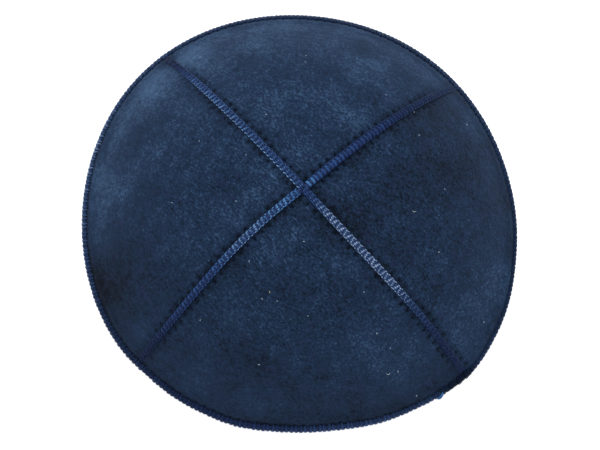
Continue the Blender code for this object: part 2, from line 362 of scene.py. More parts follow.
def make_suede():
    material, tree, shader = new_material("brushed calf suede, navy")
    place = add_node(tree, "ShaderNodeTexCoord").outputs["Object"]
    brushed = add_node(tree, "ShaderNodeMapping", {"vector_type": "TEXTURE"}, {
        "Vector": place, "Rotation": (0.0, 0.0, BRUSHED_WAY),
        "Scale": (1.0, BRUSHED_LENGTH, 1.0)}).outputs["Vector"]
    blotch = add_node(tree, "ShaderNodeTexNoise", inputs={
        "Vector": brushed, "Scale": per_metre(BLOTCH_MM), "Detail": 3.0, "Roughness": 0.6})
    fleck = add_node(tree, "ShaderNodeTexNoise", inputs={
        "Vector": brushed, "Scale": per_metre(FLECK_MM), "Detail": 2.0, "Roughness": 0.6})
    grain = add_node(tree, "ShaderNodeTexNoise", inputs={
        "Vector": brushed, "Scale": per_metre(GRAIN_MM), "Detail": 2.0, "Roughness": 0.7})
    # This attribute holds the nap's own light and dark together with painted light and painted
    # shade
    nap = add_node(tree, "ShaderNodeAttribute", {"attribute_name": "nap"})
    coarse = add_node(tree, "ShaderNodeAttribute", {"attribute_name": "coarse"})
    total = nap.outputs["Fac"]
    for source, (low, high) in ((blotch, BLOTCH_WEIGHTS), (fleck, FLECK_WEIGHTS),
                                (grain, GRAIN_WEIGHTS)):
        centred = add_node(tree, "ShaderNodeMath", {"operation": "SUBTRACT"},
                           {0: source.outputs[0], 1: 0.5})
        weight = add_node(tree, "ShaderNodeMapRange", {"clamp": False}, {
            "Value": coarse.outputs["Fac"], "To Min": low, "To Max": high})
        total = add_node(tree, "ShaderNodeMath", {"operation": "MULTIPLY_ADD"},
                         {0: centred.outputs[0], 1: weight.outputs["Result"], 2: total}).outputs[0]
    tone = add_node(tree, "ShaderNodeValToRGB", inputs={"Fac": total})
    ramp = tone.color_ramp
    ramp.elements[0].position = 0.0
    ramp.elements[0].color = linear(SUEDE_DARK)
    ramp.elements[1].position = 1.0
    ramp.elements[1].color = linear(SUEDE_LIGHT)
    ramp.elements.new(0.5).color = linear(SUEDE_BASE)
    colour = tone.outputs["Color"]
    for drift in DRIFTS:
        noise = add_node(tree, "ShaderNodeTexNoise", inputs={
            "Vector": place, "Scale": per_metre(drift.size_mm), "Detail": 2.0})
        where = add_node(tree, "ShaderNodeMapRange", inputs={
            "Value": noise.outputs[0], "From Min": 0.52, "From Max": 0.72,
            "To Max": drift.strength})
        colour = add_node(tree, "ShaderNodeMix", {"data_type": "RGBA"}, {
            "Factor": where.outputs["Result"], MIX_A: colour,
            MIX_B: linear(drift.hex_code)}).outputs[MIX_OUT]
    relief = add_node(tree, "ShaderNodeMath", {"operation": "ADD"},
                      {0: grain.outputs[0], 1: fleck.outputs[0]})
    bump = add_node(tree, "ShaderNodeBump", inputs={
        "Strength": 0.55, "Distance": 0.0003, "Height": relief.outputs[0]})
    tree.links.new(colour, shader.inputs["Base Color"])
    tree.links.new(bump.outputs["Normal"], shader.inputs["Normal"])
    shader.inputs["Roughness"].default_value = 0.95
    shader.inputs["IOR"].default_value = 1.45
    shader.inputs["Specular IOR Level"].default_value = 0.15
    shader.inputs["Sheen Weight"].default_value = 0.12
    shader.inputs["Sheen Roughness"].default_value = 0.45
    shader.inputs["Sheen Tint"].default_value = linear("#7f9bc0")
    return material


suede = make_suede()
print("nodes in the suede:", len(suede.node_tree.nodes))

# %% [markdown]
# ## Sewing thread
# The seams and the rim are sewn with satin polyester thread: three thin plies, twisted. Light runs
# along its plies, so a wrap flashes pale blue on top and falls to dark indigo between its
# neighbours, and that light and shade is painted into the thread's colour. Two numbers on each
# point choose its colour: tone goes from dark to bright and carries that painted highlight and
# shade, and the second goes from clean blue to grey-blue, whose palest end is a painted glint. A
# third, twist, counts turns along the thread, and its sine draws the plies as bump, which costs no
# mesh.

# %% Thread material
THREAD_PLACES = (0.0, 0.3, 0.6, 1.0)
THREAD_CLEAN = ("#0a1224", "#24325c", "#365a92", "#5b9fd0")     # indigo, royal, bright blue
# Grey-blue ramp: slate and steel, and a pale top that is a painted glint of light on the plies
THREAD_GREY_AND_GLINT = ("#0b1422", "#293b57", "#4a658d", "#c2d2e8")     # slate, steel, silver


def make_thread(name, roughness):
    material, tree, shader = new_material(name)
    tone = add_node(tree, "ShaderNodeAttribute", {"attribute_name": "tone"})
    silver = add_node(tree, "ShaderNodeAttribute", {"attribute_name": "silver"})
    twist = add_node(tree, "ShaderNodeAttribute", {"attribute_name": "twist"})
    ramps = []
    for hex_codes in (THREAD_CLEAN, THREAD_GREY_AND_GLINT):
        node = add_node(tree, "ShaderNodeValToRGB", inputs={"Fac": tone.outputs["Fac"]})
        node.color_ramp.elements[0].color = linear(hex_codes[0])
        node.color_ramp.elements[1].color = linear(hex_codes[-1])
        for place, hex_code in list(zip(THREAD_PLACES, hex_codes))[1:-1]:
            node.color_ramp.elements.new(place).color = linear(hex_code)
        ramps.append(node.outputs["Color"])
    colour = add_node(tree, "ShaderNodeMix", {"data_type": "RGBA"}, {
        "Factor": silver.outputs["Fac"], MIX_A: ramps[0], MIX_B: ramps[1]})
    plies = add_node(tree, "ShaderNodeMath", {"operation": "SINE"}, {0: twist.outputs["Fac"]})
    bump = add_node(tree, "ShaderNodeBump", inputs={
        "Strength": 0.3, "Distance": 0.0001, "Height": plies.outputs[0]})
    tree.links.new(colour.outputs[MIX_OUT], shader.inputs["Base Color"])
    tree.links.new(bump.outputs["Normal"], shader.inputs["Normal"])
    shader.inputs["Roughness"].default_value = roughness
    shader.inputs["IOR"].default_value = 1.55
    shader.inputs["Specular IOR Level"].default_value = 0.1
    shader.inputs["Specular Tint"].default_value = linear("#8fb0ff")
    shader.inputs["Sheen Weight"].default_value = 0.03
    shader.inputs["Sheen Tint"].default_value = linear("#8fa8dc")
    return material


seam_thread = make_thread("satin polyester thread, seams", 0.42)
rim_thread = make_thread("satin polyester thread, rim", 0.48)
print("thread materials:", seam_thread.name, "and", rim_thread.name)

# %% [markdown]
# ## Where the stitches lie
# A stitch on leather this thick is about 3.6 mm long, and counting those in the photograph gives
# 3.7 mm here. Each seam is measured along the dome, not seen from above, so that its stitches
# keep their length where the wall turns down. The same places are used three times: for the
# wraps, for the needle holes beside them and for the dents in the suede.

# %% Lines of the seams
STITCH_MM = 3.7
RIM_STITCH_MM = 3.65
LINE_STEPS = 600

SeamLine = namedtuple("SeamLine", "arm along length x y stitches pitch")


def seam_line(arm, first_share, bare_mm=0.0):
    """A seam from near the crossing to its end. Its stitches begin after a bare stretch."""
    share = np.linspace(first_share, SEAM_END_SHARE, LINE_STEPS)
    azimuth = arm_azimuth(arm, share)
    radius = share * edge_radius(azimuth)
    x, y = radius * np.cos(azimuth), radius * np.sin(azimuth)
    points = on_face(x, y, np.zeros_like(x))
    steps = np.linalg.norm(np.diff(points, axis=0), axis=1)
    length = np.concatenate(([0.0], np.cumsum(steps)))
    end = math.radians(arm.azimuth)
    along = x * math.cos(end) + y * math.sin(end)
    bare = bare_mm * MM
    count = round((length[-1] - bare) / (STITCH_MM * MM))
    stitches = bare + (np.arange(count) + 0.5) * (length[-1] - bare) / count
    return SeamLine(arm, along, length, x, y, stitches, stitches[1] - stitches[0])


# The long seam runs through the crossing. The cores of the other two begin under it, so that no
# gap opens between them, and their stitches begin where they come out.
THROUGH_SHARE = 0.001
TUCK = 0.4 * SEAM_WIDTH / 2
TUCK_SHARE = TUCK / edge_radius(math.radians(NORTH_EAST.azimuth))
TUCKED_MM = (SEAM_WIDTH / 2 + CLEARANCE - TUCK) / MM
LINES = {
    "north_east": seam_line(NORTH_EAST, TUCK_SHARE, TUCKED_MM + 0.2),
    "north_west": seam_line(NORTH_WEST, THROUGH_SHARE),
    "south_west": seam_line(SOUTH_WEST, TUCK_SHARE, TUCKED_MM + 0.4),
    "south_east": seam_line(SOUTH_EAST, THROUGH_SHARE),
}
for name, line in LINES.items():
    print(name, round(line.length[-1] / MM, 1), "mm,", len(line.stitches), "stitches")


# %% Measure a point against a seam or the rim
def beside_seam(line, x, y):
    """How far points lie beside a seam, and how long the seam is up to them."""
    arm = line.arm
    end = math.radians(arm.azimuth)
    along = x * math.cos(end) + y * math.sin(end)
    across = -x * math.sin(end) + y * math.cos(end)
    swing = arm_swing(arm, np.clip(along / edge_radius(end), 0.0, 1.0)) * RIM_RADIUS
    return across - swing, np.interp(along, line.along, line.length), along


RIM_TURN = np.linspace(0.0, math.tau, 4 * LINE_STEPS)
rim_x = edge_radius(RIM_TURN) * np.cos(RIM_TURN)
rim_y = edge_radius(RIM_TURN) * np.sin(RIM_TURN)
RIM_LENGTH = np.concatenate(([0.0], np.cumsum(np.hypot(np.diff(rim_x), np.diff(rim_y)))))
RIM_STITCHES = round(RIM_LENGTH[-1] / (RIM_STITCH_MM * MM))
print("rim:", round(RIM_LENGTH[-1] / MM, 1), "mm,", RIM_STITCHES, "stitches")


def rim_stitch_at(azimuth):
    """How many stitches of the rim lie between azimuth 0 and this one, with a part of a stitch."""
    length = np.interp(np.remainder(azimuth, math.tau), RIM_TURN, RIM_LENGTH)
    return length / RIM_LENGTH[-1] * RIM_STITCHES


def hump(distance, width):
    """1 in the middle, and gone about two widths away."""
    return np.exp(-(distance / width) ** 2)


def towards(azimuth, degrees, width):
    """1 in one direction round the cap, and gone about two widths of turn away."""
    return hump(turn_between(azimuth, degrees), width)


print("stitches of the rim up to the near side:", round(float(rim_stitch_at(1.5 * math.pi)), 1))

# %% [markdown]
# ## Relief of the suede
# Thread under tension pulls suede down, and suede that is pulled down in one place swells beside
# it. So the face dips along each seam and under the rim's wraps, with a dent at each needle hole,
# and rolls up softly just inside the rim. A few long waves with seeded directions keep the large
# surface from looking turned on a lathe.

# %% Needle holes, and what is uneven about them
NEEDLE_SIDE_MM = 2.7        # from the middle of a seam to its needle holes
HOLE_INSET_MM = 2.3         # from the cut edge to the needle holes of the rim
WAVES = 7                   # how many waves make up a soft unevenness


def soft_waves(x, y, length_mm, seed):
    """A smooth uneven surface from -1 to 1, from waves about this long in seeded directions."""
    draw = np.random.RandomState(seed)
    total = np.zeros_like(x)
    for _ in range(WAVES):
        heading, phase = draw.uniform(0.0, math.tau, 2)
        number = math.tau / (length_mm * MM * draw.uniform(0.7, 1.5))
        total = total + np.sin(number * (x * math.cos(heading) + y * math.sin(heading)) + phase)
    return total / WAVES * 1.8


def rim_reach_share(azimuth):
    """How far in the rim's wraps reach: less on both sides, and more past the north-east seam."""
    right = towards(azimuth, 340.0, 0.75)
    far = towards(azimuth, 58.0, 0.50)
    left = towards(azimuth, 168.0, 0.50)
    return 1.0 - 0.54 * right + 0.22 * far - 0.14 * left


def to_whole(value):
    """How far a number lies from the nearest whole one."""
    return np.abs(value - np.round(value))


def pull(x, y):
    """How hard the needle pulled, which changes from one stitch to the next."""
    return np.clip(0.75 + 0.6 * soft_waves(x, y, 7.0, 41), 0.2, 1.3)


print("needle holes:", NEEDLE_SIDE_MM, "mm beside a seam,", HOLE_INSET_MM, "mm inside the edge")


# %% Relief along a seam
VALLEY_MM = 0.20            # how deep the suede dips beside the ridge
SEAM_HOLE_MM = 0.5          # how deep it is dented at a needle hole
SWELL_MM = 0.16             # how high it rises outside the holes
SWELL_SIDE_MM = 4.6


def slack_share(line, length):
    """How hard the stitches pull: less from halfway on, where the wall of the cap gives way."""
    return 1.0 - line.arm.slack * np.clip(length / line.length[-1] * 2.0 - 1.0, 0.0, 1.0)


def seam_relief(line, x, y):
    """The lift in millimetres near a seam, and how much darker the suede there is drawn: crushed
    nap, with painted shade in the dip beside the ridge and in the needle dents.
    """
    beside, length, along = beside_seam(line, x, y)
    side = np.abs(beside) / MM
    off_stitch = to_whole((length - line.stitches[0]) / line.pitch) * line.pitch / MM
    forward = 1.0 / (1.0 + np.exp(-along / (0.7 * MM)))
    slack = slack_share(line, length)
    valley = -VALLEY_MM * slack * hump(side - HALF_SLOT / MM, 1.2)
    hole = hump(side - NEEDLE_SIDE_MM, 0.8) * hump(off_stitch, 0.62) * pull(x, y)
    swell = SWELL_MM * hump(side - SWELL_SIDE_MM, 1.5)
    # Darker where crushed along the seam, with painted shade beside the ridge and in each needle
    # dent
    crush_and_shade = slack * (0.20 * hump(side - 1.9, 1.3) + 1.2 * hole) + 0.22 * hump(side, 5.5)
    return (valley - SEAM_HOLE_MM * slack * hole + swell) * forward, crush_and_shade * forward


halfway = LINES["north_west"].length[-1] * 0.75
print("pull left at three quarters:", round(slack_share(LINES["north_west"], halfway), 2))


# %% Relief along the rim, and all of it together
PRESS_MM = 0.18             # how deep the wraps press the suede
RIM_HOLE_MM = 0.4           # how deep a needle hole is dented
ROLL_MM = 0.34              # how high the suede rolls up inside the wraps
LONG_WAVES_MM = 0.22        # how high the long waves of a whole panel rise


def rim_relief(x, y):
    """The same near the rim, and how far in from the cut edge the points lie."""
    azimuth = np.arctan2(y, x)
    inset = (1.0 - share_at(x, y)) * edge_radius(azimuth) / math.cos(EDGE_SLOPE) / MM
    place = HOLE_INSET_MM * rim_reach_share(azimuth)
    off_stitch = to_whole(rim_stitch_at(azimuth)) * RIM_STITCH_MM
    hole = hump(inset - place, 0.7) * hump(off_stitch, 0.65) * pull(x, y)
    hole = hole * rim_reach_share(azimuth) ** 2
    pressed = -PRESS_MM * hump(np.maximum(0.0, inset - place + 0.8), 1.0)
    roll = ROLL_MM * hump(inset - place - 2.4, 1.9)
    # Darker where crushed under the wraps, with painted shade in each needle dent
    crush_and_shade = 0.35 * hump(inset - place + 0.3, 0.9) * rim_reach_share(azimuth) ** 2 + 0.6 * hole
    return pressed - RIM_HOLE_MM * hole + roll, crush_and_shade, inset


def suede_relief(x, y):
    """All of it together: the lift in millimetres, the crush with its painted shade, and the way in
    from the edge.
    """
    lift, crush_and_shade, inset = rim_relief(x, y)
    for line in LINES.values():
        more_lift, more_crush_and_shade = seam_relief(line, x, y)
        lift = lift + more_lift
        crush_and_shade = crush_and_shade + more_crush_and_shade
    inside_edge = np.clip((inset - 2.0) / 4.0, 0.0, 1.0)
    lift = lift + LONG_WAVES_MM * soft_waves(x, y, 34.0, 3) * inside_edge
    return lift, np.minimum(crush_and_shade, 1.0), inset


relief = suede_relief(np.array([30.0]) * MM, np.zeros(1))[0]
print("relief 30 mm to the right of the crossing:", round(float(relief[0]), 2), "mm")

# %% [markdown]
# ## Suede panels
# Each panel is a fan of rows from the crossing to the cut edge. Rows and columns crowd together by
# the seams and the rim, where the dents are, and spread out between. The same grid, moved inwards
# by the suede's thickness, is its inner side, and a strip along the edge closes the two.

# %% Grid of a panel
FINE_COLUMNS_MM = (0.0, 0.5, 1.0, 1.5, 2.0, 2.5, 3.0, 3.6, 4.3, 5.2, 6.4, 8.0)
MIDDLE_COLUMNS = 128
FINE_ROWS_MM = (0.0, 0.7, 1.4, 1.9, 2.3, 2.7, 3.0, 3.4, 3.8, 4.3, 4.9, 5.6, 6.5, 7.5, 8.6)
MIDDLE_ROWS = 150
TIP_SHARE = 0.045           # inside this share the rows run straight to the panel's point
TIP_START = 0.10


def panel_tip(first, second):
    """X and Y of the point of a panel, where the slots of its two seams meet."""
    lines = []
    for arm, beside in ((first, HALF_SLOT), (second, -HALF_SLOT)):
        heading = (math.radians(arm.azimuth) + math.pi * arm.bow + math.tau * arm.sway
                   - arm.start)
        lines.append((-math.sin(heading), math.cos(heading), arm.start * RIM_RADIUS + beside))
    (ax, ay, a), (bx, by, b) = lines
    spread = ax * by - ay * bx
    return (a * by - b * ay) / spread, (ax * b - bx * a) / spread


def column_shares(width_mm):
    """Places of the columns across a row, as shares of its width."""
    fine = np.array(FINE_COLUMNS_MM) * np.minimum(1.0, width_mm / 3.0 / FINE_COLUMNS_MM[-1])
    low = fine / width_mm
    middle = np.linspace(low[-1], 1.0 - low[-1], MIDDLE_COLUMNS)[1:-1]
    return np.concatenate((low, middle, 1.0 - low[::-1]))


def panel_grid(first, second):
    """X and Y of a panel's rows and columns."""
    inset = np.array(FINE_ROWS_MM) * MM * math.cos(EDGE_SLOPE) / RIM_RADIUS
    middle = np.linspace(TIP_SHARE, 1.0 - inset[-1], MIDDLE_ROWS)[:-1]
    tip_x, tip_y = panel_tip(first, second)
    rows = []
    for share in np.concatenate((middle, (1.0 - inset)[::-1])):
        start = float(arm_azimuth(first, share, HALF_SLOT))
        end = float(arm_azimuth(second, share, -HALF_SLOT))
        end += math.tau if end < start else 0.0
        width = (end - start) * share * RIM_RADIUS
        azimuth = start + (end - start) * column_shares(width / MM)
        radius = share * edge_radius(azimuth)
        rows.append((radius * np.cos(azimuth), radius * np.sin(azimuth)))
    near_x, near_y = rows[0]
    tips = [(tip_x + (near_x - tip_x) * part, tip_y + (near_y - tip_y) * part)
            for part in (TIP_START, 0.4, 0.7)]
    grid = np.array(tips + rows)
    return grid[:, 0, :], grid[:, 1, :]


def shell_faces(rows, columns):
    """Faces of a grid, of its inner copy, and of the strip between their edges."""
    index = np.arange(rows * columns).reshape(rows, columns)
    quads = np.stack((index[:-1, :-1], index[1:, :-1], index[1:, 1:], index[:-1, 1:]), axis=-1)
    outer = quads.reshape(-1, 4)
    inner = outer[:, ::-1] + rows * columns
    edge = np.concatenate((index[0, :-1], index[:-1, -1], index[-1, :0:-1], index[:0:-1, 0]))
    after = np.roll(edge, -1)
    strip = np.stack((edge, after, after + rows * columns, edge + rows * columns), axis=-1)
    return np.concatenate((outer, inner, strip))


print("rows and columns of a panel:", panel_grid(NORTH_EAST, NORTH_WEST)[0].shape)

# %% [markdown]
# ## Light and dark in the nap
# The suede is lighter in some places and darker in others. Part of this is painted light and shade:
# the suede is painted lighter towards the lamp at the far left and in a band inside the far rim,
# and painted darker along the near side and just inside the rim at the left. Along the seams and
# under the rim's wraps it is crushed and darker, with painted shade in the dents. A formula gives
# what the whole cap shares, and a table of soft round patches gives what it can't: each is placed
# by its direction from the crossing and its share of the way out.

# %% Nap of the four panels
# A panel lies between two seams. Lightness shifts its tone, open nap is how coarse it stands at
# the crossing, and smoothed is how much of that is lost by the rim.
Panel = namedtuple("Panel", "name first second lightness open_nap smoothed")
PANELS = (
    Panel("north", "north_east", "north_west", -0.01, 1.10, 0.90),
    Panel("west", "north_west", "south_west", -0.01, 1.10, 0.95),
    Panel("south", "south_west", "south_east", -0.05, 1.20, 0.95),
    Panel("east", "south_east", "north_east", -0.08, 1.20, 0.60),
)
Patch = namedtuple("Patch", "name azimuth share size_mm change")
# Some patches are painted light and shade: lighter towards the lamp at the far left, darker at the
# lower left, inside the rim at the left and at the end of the north-west seam. The rest make the
# suede lighter or darker in patches.
PATCHES = (
    Patch("lighter, north of the north-west seam", 125.0, 0.86, 10.0, 0.18),
    Patch("lighter, west of it", 137.5, 0.90, 9.0, 0.22),
    Patch("painted shade at the end of the north-west seam", 130.0, 0.95, 4.5, -0.22),
    Patch("painted light, far left", 176.0, 0.85, 14.0, 0.10),
    Patch("darker, middle of the west panel", 175.0, 0.58, 22.0, -0.08),
    Patch("painted shade, lower left", 206.0, 0.88, 20.0, -0.14),
    Patch("painted shade along the rim at the left", 199.0, 1.00, 16.0, -0.36),
    Patch("dark by the top, on the right", 345.0, 0.32, 14.0, -0.11),
    Patch("dark, upper right", 18.0, 0.72, 20.0, -0.12),
    Patch("light, lower right", 325.0, 0.88, 22.0, 0.10),
    Patch("light, right of the near side", 300.0, 0.72, 22.0, 0.11),
    Patch("light along the rim at the right", 343.0, 0.97, 12.0, 0.21),
    Patch("light along the rim, further up", 13.0, 0.98, 10.0, 0.06),
    Patch("light along the rim at the corner", 318.0, 0.98, 12.0, 0.17),
    Patch("dark along the near rim", 262.0, 0.97, 18.0, -0.05),
    Patch("darker beside the doubled corner", 312.5, 1.00, 4.5, -0.16),
    Patch("blotch", 61.0, 0.39, 4.5, 0.10),
    Patch("light round the crossing", 0.0, 0.0, 22.0, 0.03),
    Patch("dark, below the crossing", 267.0, 0.42, 8.0, -0.09),
    Patch("light by the end of the south-west seam", 218.0, 0.87, 6.5, 0.18),
)
NAP_MIDDLE = 0.45
# Crushed suede is darker, and the same number paints the shade in the dents at the seams and the
# rim
CRUSH_AND_SHADE_LOSS = 0.42             # how much darker crushed suede is


def nap_and_light_of(panel, x, y, crush_and_shade, inset):
    """How light the suede is drawn, from 0 to 1: the nap's own light and dark, with painted light
    towards the lamp at the far left and painted shade inside the rim on the near side and at the
    left.
    """
    azimuth = np.arctan2(y, x)
    # Painted light: the suede is lighter towards the lamp at the far left
    towards_light = (-0.55 * x + 0.84 * y) / RIM_RADIUS
    far_side = 0.5 + 0.5 * np.cos(turn_between(azimuth, 98.0))
    nap = NAP_MIDDLE + panel.lightness + 0.10 * towards_light
    # Painted highlight in a band inside the far rim, and painted shade just inside the rim at the
    # left and near the rim on the near side
    nap = nap + 0.09 * hump(inset - 11.0, 5.0) * far_side ** 1.5
    nap = nap - 0.20 * hump(inset - 2.4, 0.9) * towards(azimuth, 172.0, 0.45)
    nap = nap - 0.09 * hump(inset - 2.0, 5.0) * (1.0 - far_side)
    nap = nap + 0.08 * soft_waves(x, y, 26.0, 11) + 0.04 * soft_waves(x, y, 11.0, 12)
    for patch in PATCHES:
        turn = math.radians(patch.azimuth)
        radius = patch.share * edge_radius(turn)
        away = np.hypot(x - radius * math.cos(turn), y - radius * math.sin(turn)) / MM
        nap = nap + patch.change * hump(away, patch.size_mm)
    return nap - CRUSH_AND_SHADE_LOSS * crush_and_shade


def coarseness(panel, x, y):
    """How coarse the pile stands: open on the flat top, and brushed smoother on the wall."""
    coarse = panel.open_nap - panel.smoothed * share_at(x, y) ** 2
    return np.maximum(0.0, coarse + 0.15 * soft_waves(x, y, 20.0, 31))


print("patches in the nap:", len(PATCHES))


# %% Make the panels
def make_panel(panel):
    x, y = panel_grid(LINES[panel.first].arm, LINES[panel.second].arm)
    lift, crush_and_shade, inset = suede_relief(x, y)
    outer = on_face(x, y, lift * MM)
    inner = on_face(x, y, np.full_like(x, -SUEDE_THICKNESS))
    points = np.concatenate((outer.reshape(-1, 3), inner.reshape(-1, 3)))
    nap = nap_and_light_of(panel, x, y, crush_and_shade, inset)
    inner_nap = 0.40 + 0.08 * soft_waves(x, y, 14.0, 5)
    piece = new_piece("suede_" + panel.name, points, shell_faces(*x.shape), suede, "suede",
                      nap=np.concatenate((nap.ravel(), inner_nap.ravel())),
                      coarse=np.tile(coarseness(panel, x, y).ravel(), 2))
    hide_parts("panel_" + panel.name)
    return piece


panels = [make_panel(panel) for panel in PANELS]

# %% [markdown]
# ## Many threads in one mesh
# A wrap of thread is a short tube along a path. Thousands of them share one way of making: an
# array of paths, a direction that each tube's section can lean on, and a radius at each point. The
# ends close with a small cap. The faces of one tube are worked out once and repeated.


# %% Tubes from paths
def tubes(paths, side_axis, radius, sides):
    """Closed tubes: points, quads and caps, and how far along and round each point is.

    The paths are tubes x points x 3. The side axis, of the same shape, is kept out of line with
    them. The radius is one number, or an array of tubes x points.
    """
    count, length = paths.shape[:2]
    ahead = unit(np.gradient(paths, axis=1))
    across = unit(side_axis - ahead * (side_axis * ahead).sum(-1, keepdims=True))
    up = np.cross(ahead, across)
    radius = np.broadcast_to(np.asarray(radius, dtype=float), (count, length))[..., None, None]
    turn = np.arange(sides) * math.tau / sides
    circle = (across[:, :, None, :] * np.cos(turn)[None, None, :, None]
              + up[:, :, None, :] * np.sin(turn)[None, None, :, None])
    points = paths[:, :, None, :] + circle * radius
    ring = np.arange(length * sides).reshape(length, sides)
    turned = np.roll(ring, -1, axis=1)
    quads = np.stack((ring[:-1], turned[:-1], turned[1:], ring[1:]), axis=-1).reshape(-1, 4)
    starts = (np.arange(count) * length * sides)[:, None, None]
    walls = (quads[None] + starts).reshape(-1, 4)
    caps = np.concatenate((ring[:1, ::-1], ring[-1:]))
    caps = (caps[None] + starts).reshape(-1, sides)
    steps = np.linalg.norm(np.diff(paths, axis=1), axis=-1)
    run = np.concatenate((np.zeros((count, 1)), np.cumsum(steps, axis=1)), axis=1)
    run = np.broadcast_to(run[:, :, None], (count, length, sides))
    around = np.broadcast_to(turn, (count, length, sides))
    return points.reshape(-1, 3), walls.tolist() + caps.tolist(), run.ravel(), around.ravel()


straight = np.array([[(0.0, 0.0, 0.0), (0.0, 0.0, MM), (0.0, 0.0, 2 * MM)]])
sideways = np.full_like(straight, (1.0, 0.0, 0.0))
print("faces of a tube of 3 rings and 6 sides:", len(tubes(straight, sideways, MM, 6)[1]))

# %% Gather tubes into one piece
PLY_PITCH_MM = 1.5          # one turn of a ply along the thread
PLIES = 3


class ThreadWork:
    """Gathers tubes with their colours, to become one piece."""

    def __init__(self):
        self.points, self.faces = [], []
        self.tone, self.silver, self.twist = [], [], []
        self.size = 0

    def add(self, points, faces, tone, silver, twist):
        self.points.append(points)
        self.faces += [[corner + self.size for corner in face] for face in faces]
        self.tone.append(tone)
        self.silver.append(silver)
        self.twist.append(twist)
        self.size += len(points)

    def add_tubes(self, paths, side_axis, radius, sides, tone, silver):
        points, faces, run, around = tubes(paths, side_axis, radius, sides)
        shape = paths.shape[:2]
        tone = np.repeat(np.broadcast_to(tone, shape).ravel(), sides)
        silver = np.repeat(np.broadcast_to(silver, shape).ravel(), sides)
        twist = run / (PLY_PITCH_MM * MM) * math.tau + PLIES * around
        self.add(points, faces, tone, silver, twist)

    def finish(self, name, material, slot, *nodes):
        piece = new_piece(name, np.concatenate(self.points), self.faces, material, slot,
                          tone=np.concatenate(self.tone), silver=np.concatenate(self.silver),
                          twist=np.concatenate(self.twist))
        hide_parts(*nodes)
        return piece


print("one turn of a ply:", PLY_PITCH_MM, "mm")

# %% [markdown]
# ## Raised seams
# Two panels meet edge to edge, and a machine lays thread over the joint until it stands up as a
# ridge. One thread would be enough to hold, but the many show, so they are modelled one by one.
# Near the top of the cap the thread is painted bright, as the highlight where the seams catch the
# light, with pale painted glints, and it falls to dark indigo at the rim, so a short table gives
# each arm its colours and its width at a few shares of its length.

# %% Colours along each arm, with their painted highlights
Shade = namedtuple("Shade", "share tone silver width")
# Tone is painted light and shade: bright where a seam catches the light, dark towards the rim. The
# third column is grey, with painted glints where the tone is high.
ARM_SHADES = {
    "north_east": (Shade(0.0, 0.84, 0.1, 1.10), Shade(0.05, 0.80, 0.0, 1.12),
                   Shade(0.12, 0.68, 0.0, 1.15), Shade(0.20, 0.53, 0.0, 1.16),
                   Shade(0.32, 0.50, 0.0, 1.16), Shade(0.45, 0.41, 0.0, 1.14),
                   Shade(0.57, 0.32, 0.4, 1.10), Shade(0.80, 0.31, 0.6, 0.96),
                   Shade(1.0, 0.27, 0.7, 0.86)),
    "north_west": (Shade(0.0, 0.76, 0.2, 1.04), Shade(0.20, 0.78, 0.2, 1.04),
                   Shade(0.30, 0.74, 0.2, 1.02), Shade(0.45, 0.76, 0.3, 1.02),
                   Shade(0.65, 0.67, 0.3, 1.02), Shade(0.78, 0.44, 0.2, 1.02),
                   Shade(0.88, 0.22, 0.2, 1.02), Shade(1.0, 0.12, 0.5, 1.05)),
    "south_west": (Shade(0.0, 0.84, 0.0, 1.05), Shade(0.10, 0.86, 0.1, 1.05),
                   Shade(0.28, 0.88, 0.50, 1.0), Shade(0.45, 0.70, 0.1, 0.96),
                   Shade(0.58, 0.54, 0.0, 0.94), Shade(0.72, 0.48, 0.0, 0.92),
                   Shade(0.86, 0.24, 0.2, 0.90), Shade(1.0, 0.16, 0.2, 0.90)),
    "south_east": (Shade(0.0, 0.70, 0.0, 1.05), Shade(0.06, 0.76, 0.2, 1.05),
                   Shade(0.14, 1.00, 0.9, 1.05), Shade(0.50, 1.02, 0.9, 1.04),
                   Shade(0.57, 0.76, 0.8, 0.92), Shade(0.67, 0.50, 0.4, 0.88),
                   Shade(0.80, 0.33, 0.2, 0.90), Shade(1.0, 0.25, 0.2, 0.92)),
}


def shade_along(name, share, column):
    """The tone, the grey with its painted glint, or the width of an arm at shares of its length."""
    table = ARM_SHADES[name]
    return np.interp(share, [row.share for row in table], [getattr(row, column) for row in table])


for arm_name in ARM_SHADES:
    tone = shade_along(arm_name, 0.5, "tone")
    print(arm_name, "tone halfway out:", round(float(tone), 2))

# %% [markdown]
# ## How the wraps lie on each arm
# The four arms were sewn alike but lie and look different. A row of habits says how:
# lean_mm, how far a bundle's ends lie before and behind its middle;
# flecked, how much brightness is lost between its flecks, which are painted highlights; tilt, how
# much brighter its left side is painted, as the side towards the lamp;
# pairs, how much brighter every second bundle is; left and right, the same painted light on the
# edge threads;
# close_to, up to which share of the arm the wraps lie close; snakes, where dark threads run along
# the ridge, in shares of its half width; and snakes_to, the share of the arm where they go under.
# The first three are pairs: a value at the crossing and one at the rim.

# %% Habits of the arms
Habit = namedtuple("Habit", "lean_mm flecked tilt pairs left right close_to snakes snakes_to")
ARM_HABITS = {
    "north_east": Habit((0.18, 0.12), (0.26, 0.40), (0.10, 0.0), 0.05, -0.45, -0.60, -0.10,
                        (), 0.0),
    "north_west": Habit((0.15, 0.42), (0.34, 0.20), (0.12, 0.42), 0.08, 0.25, -0.30, 0.22,
                        (-0.30, 0.42), 0.45),
    "south_west": Habit((0.24, 0.18), (0.28, 0.45), (0.0, -0.40), 0.06, -0.10, -0.10, -0.10,
                        (0.20,), 1.0),
    "south_east": Habit((0.30, 0.30), (0.46, 0.50), (0.0, 0.0), 0.02, -0.35, -0.40, 0.04,
                        (-0.40, 0.40), 1.0),
}
FRAY_SHARE = 0.10           # the wraps part over this share of an arm


def changing(pair, share):
    """A value of a habit at a share of the arm."""
    return pair[0] + (pair[1] - pair[0]) * share


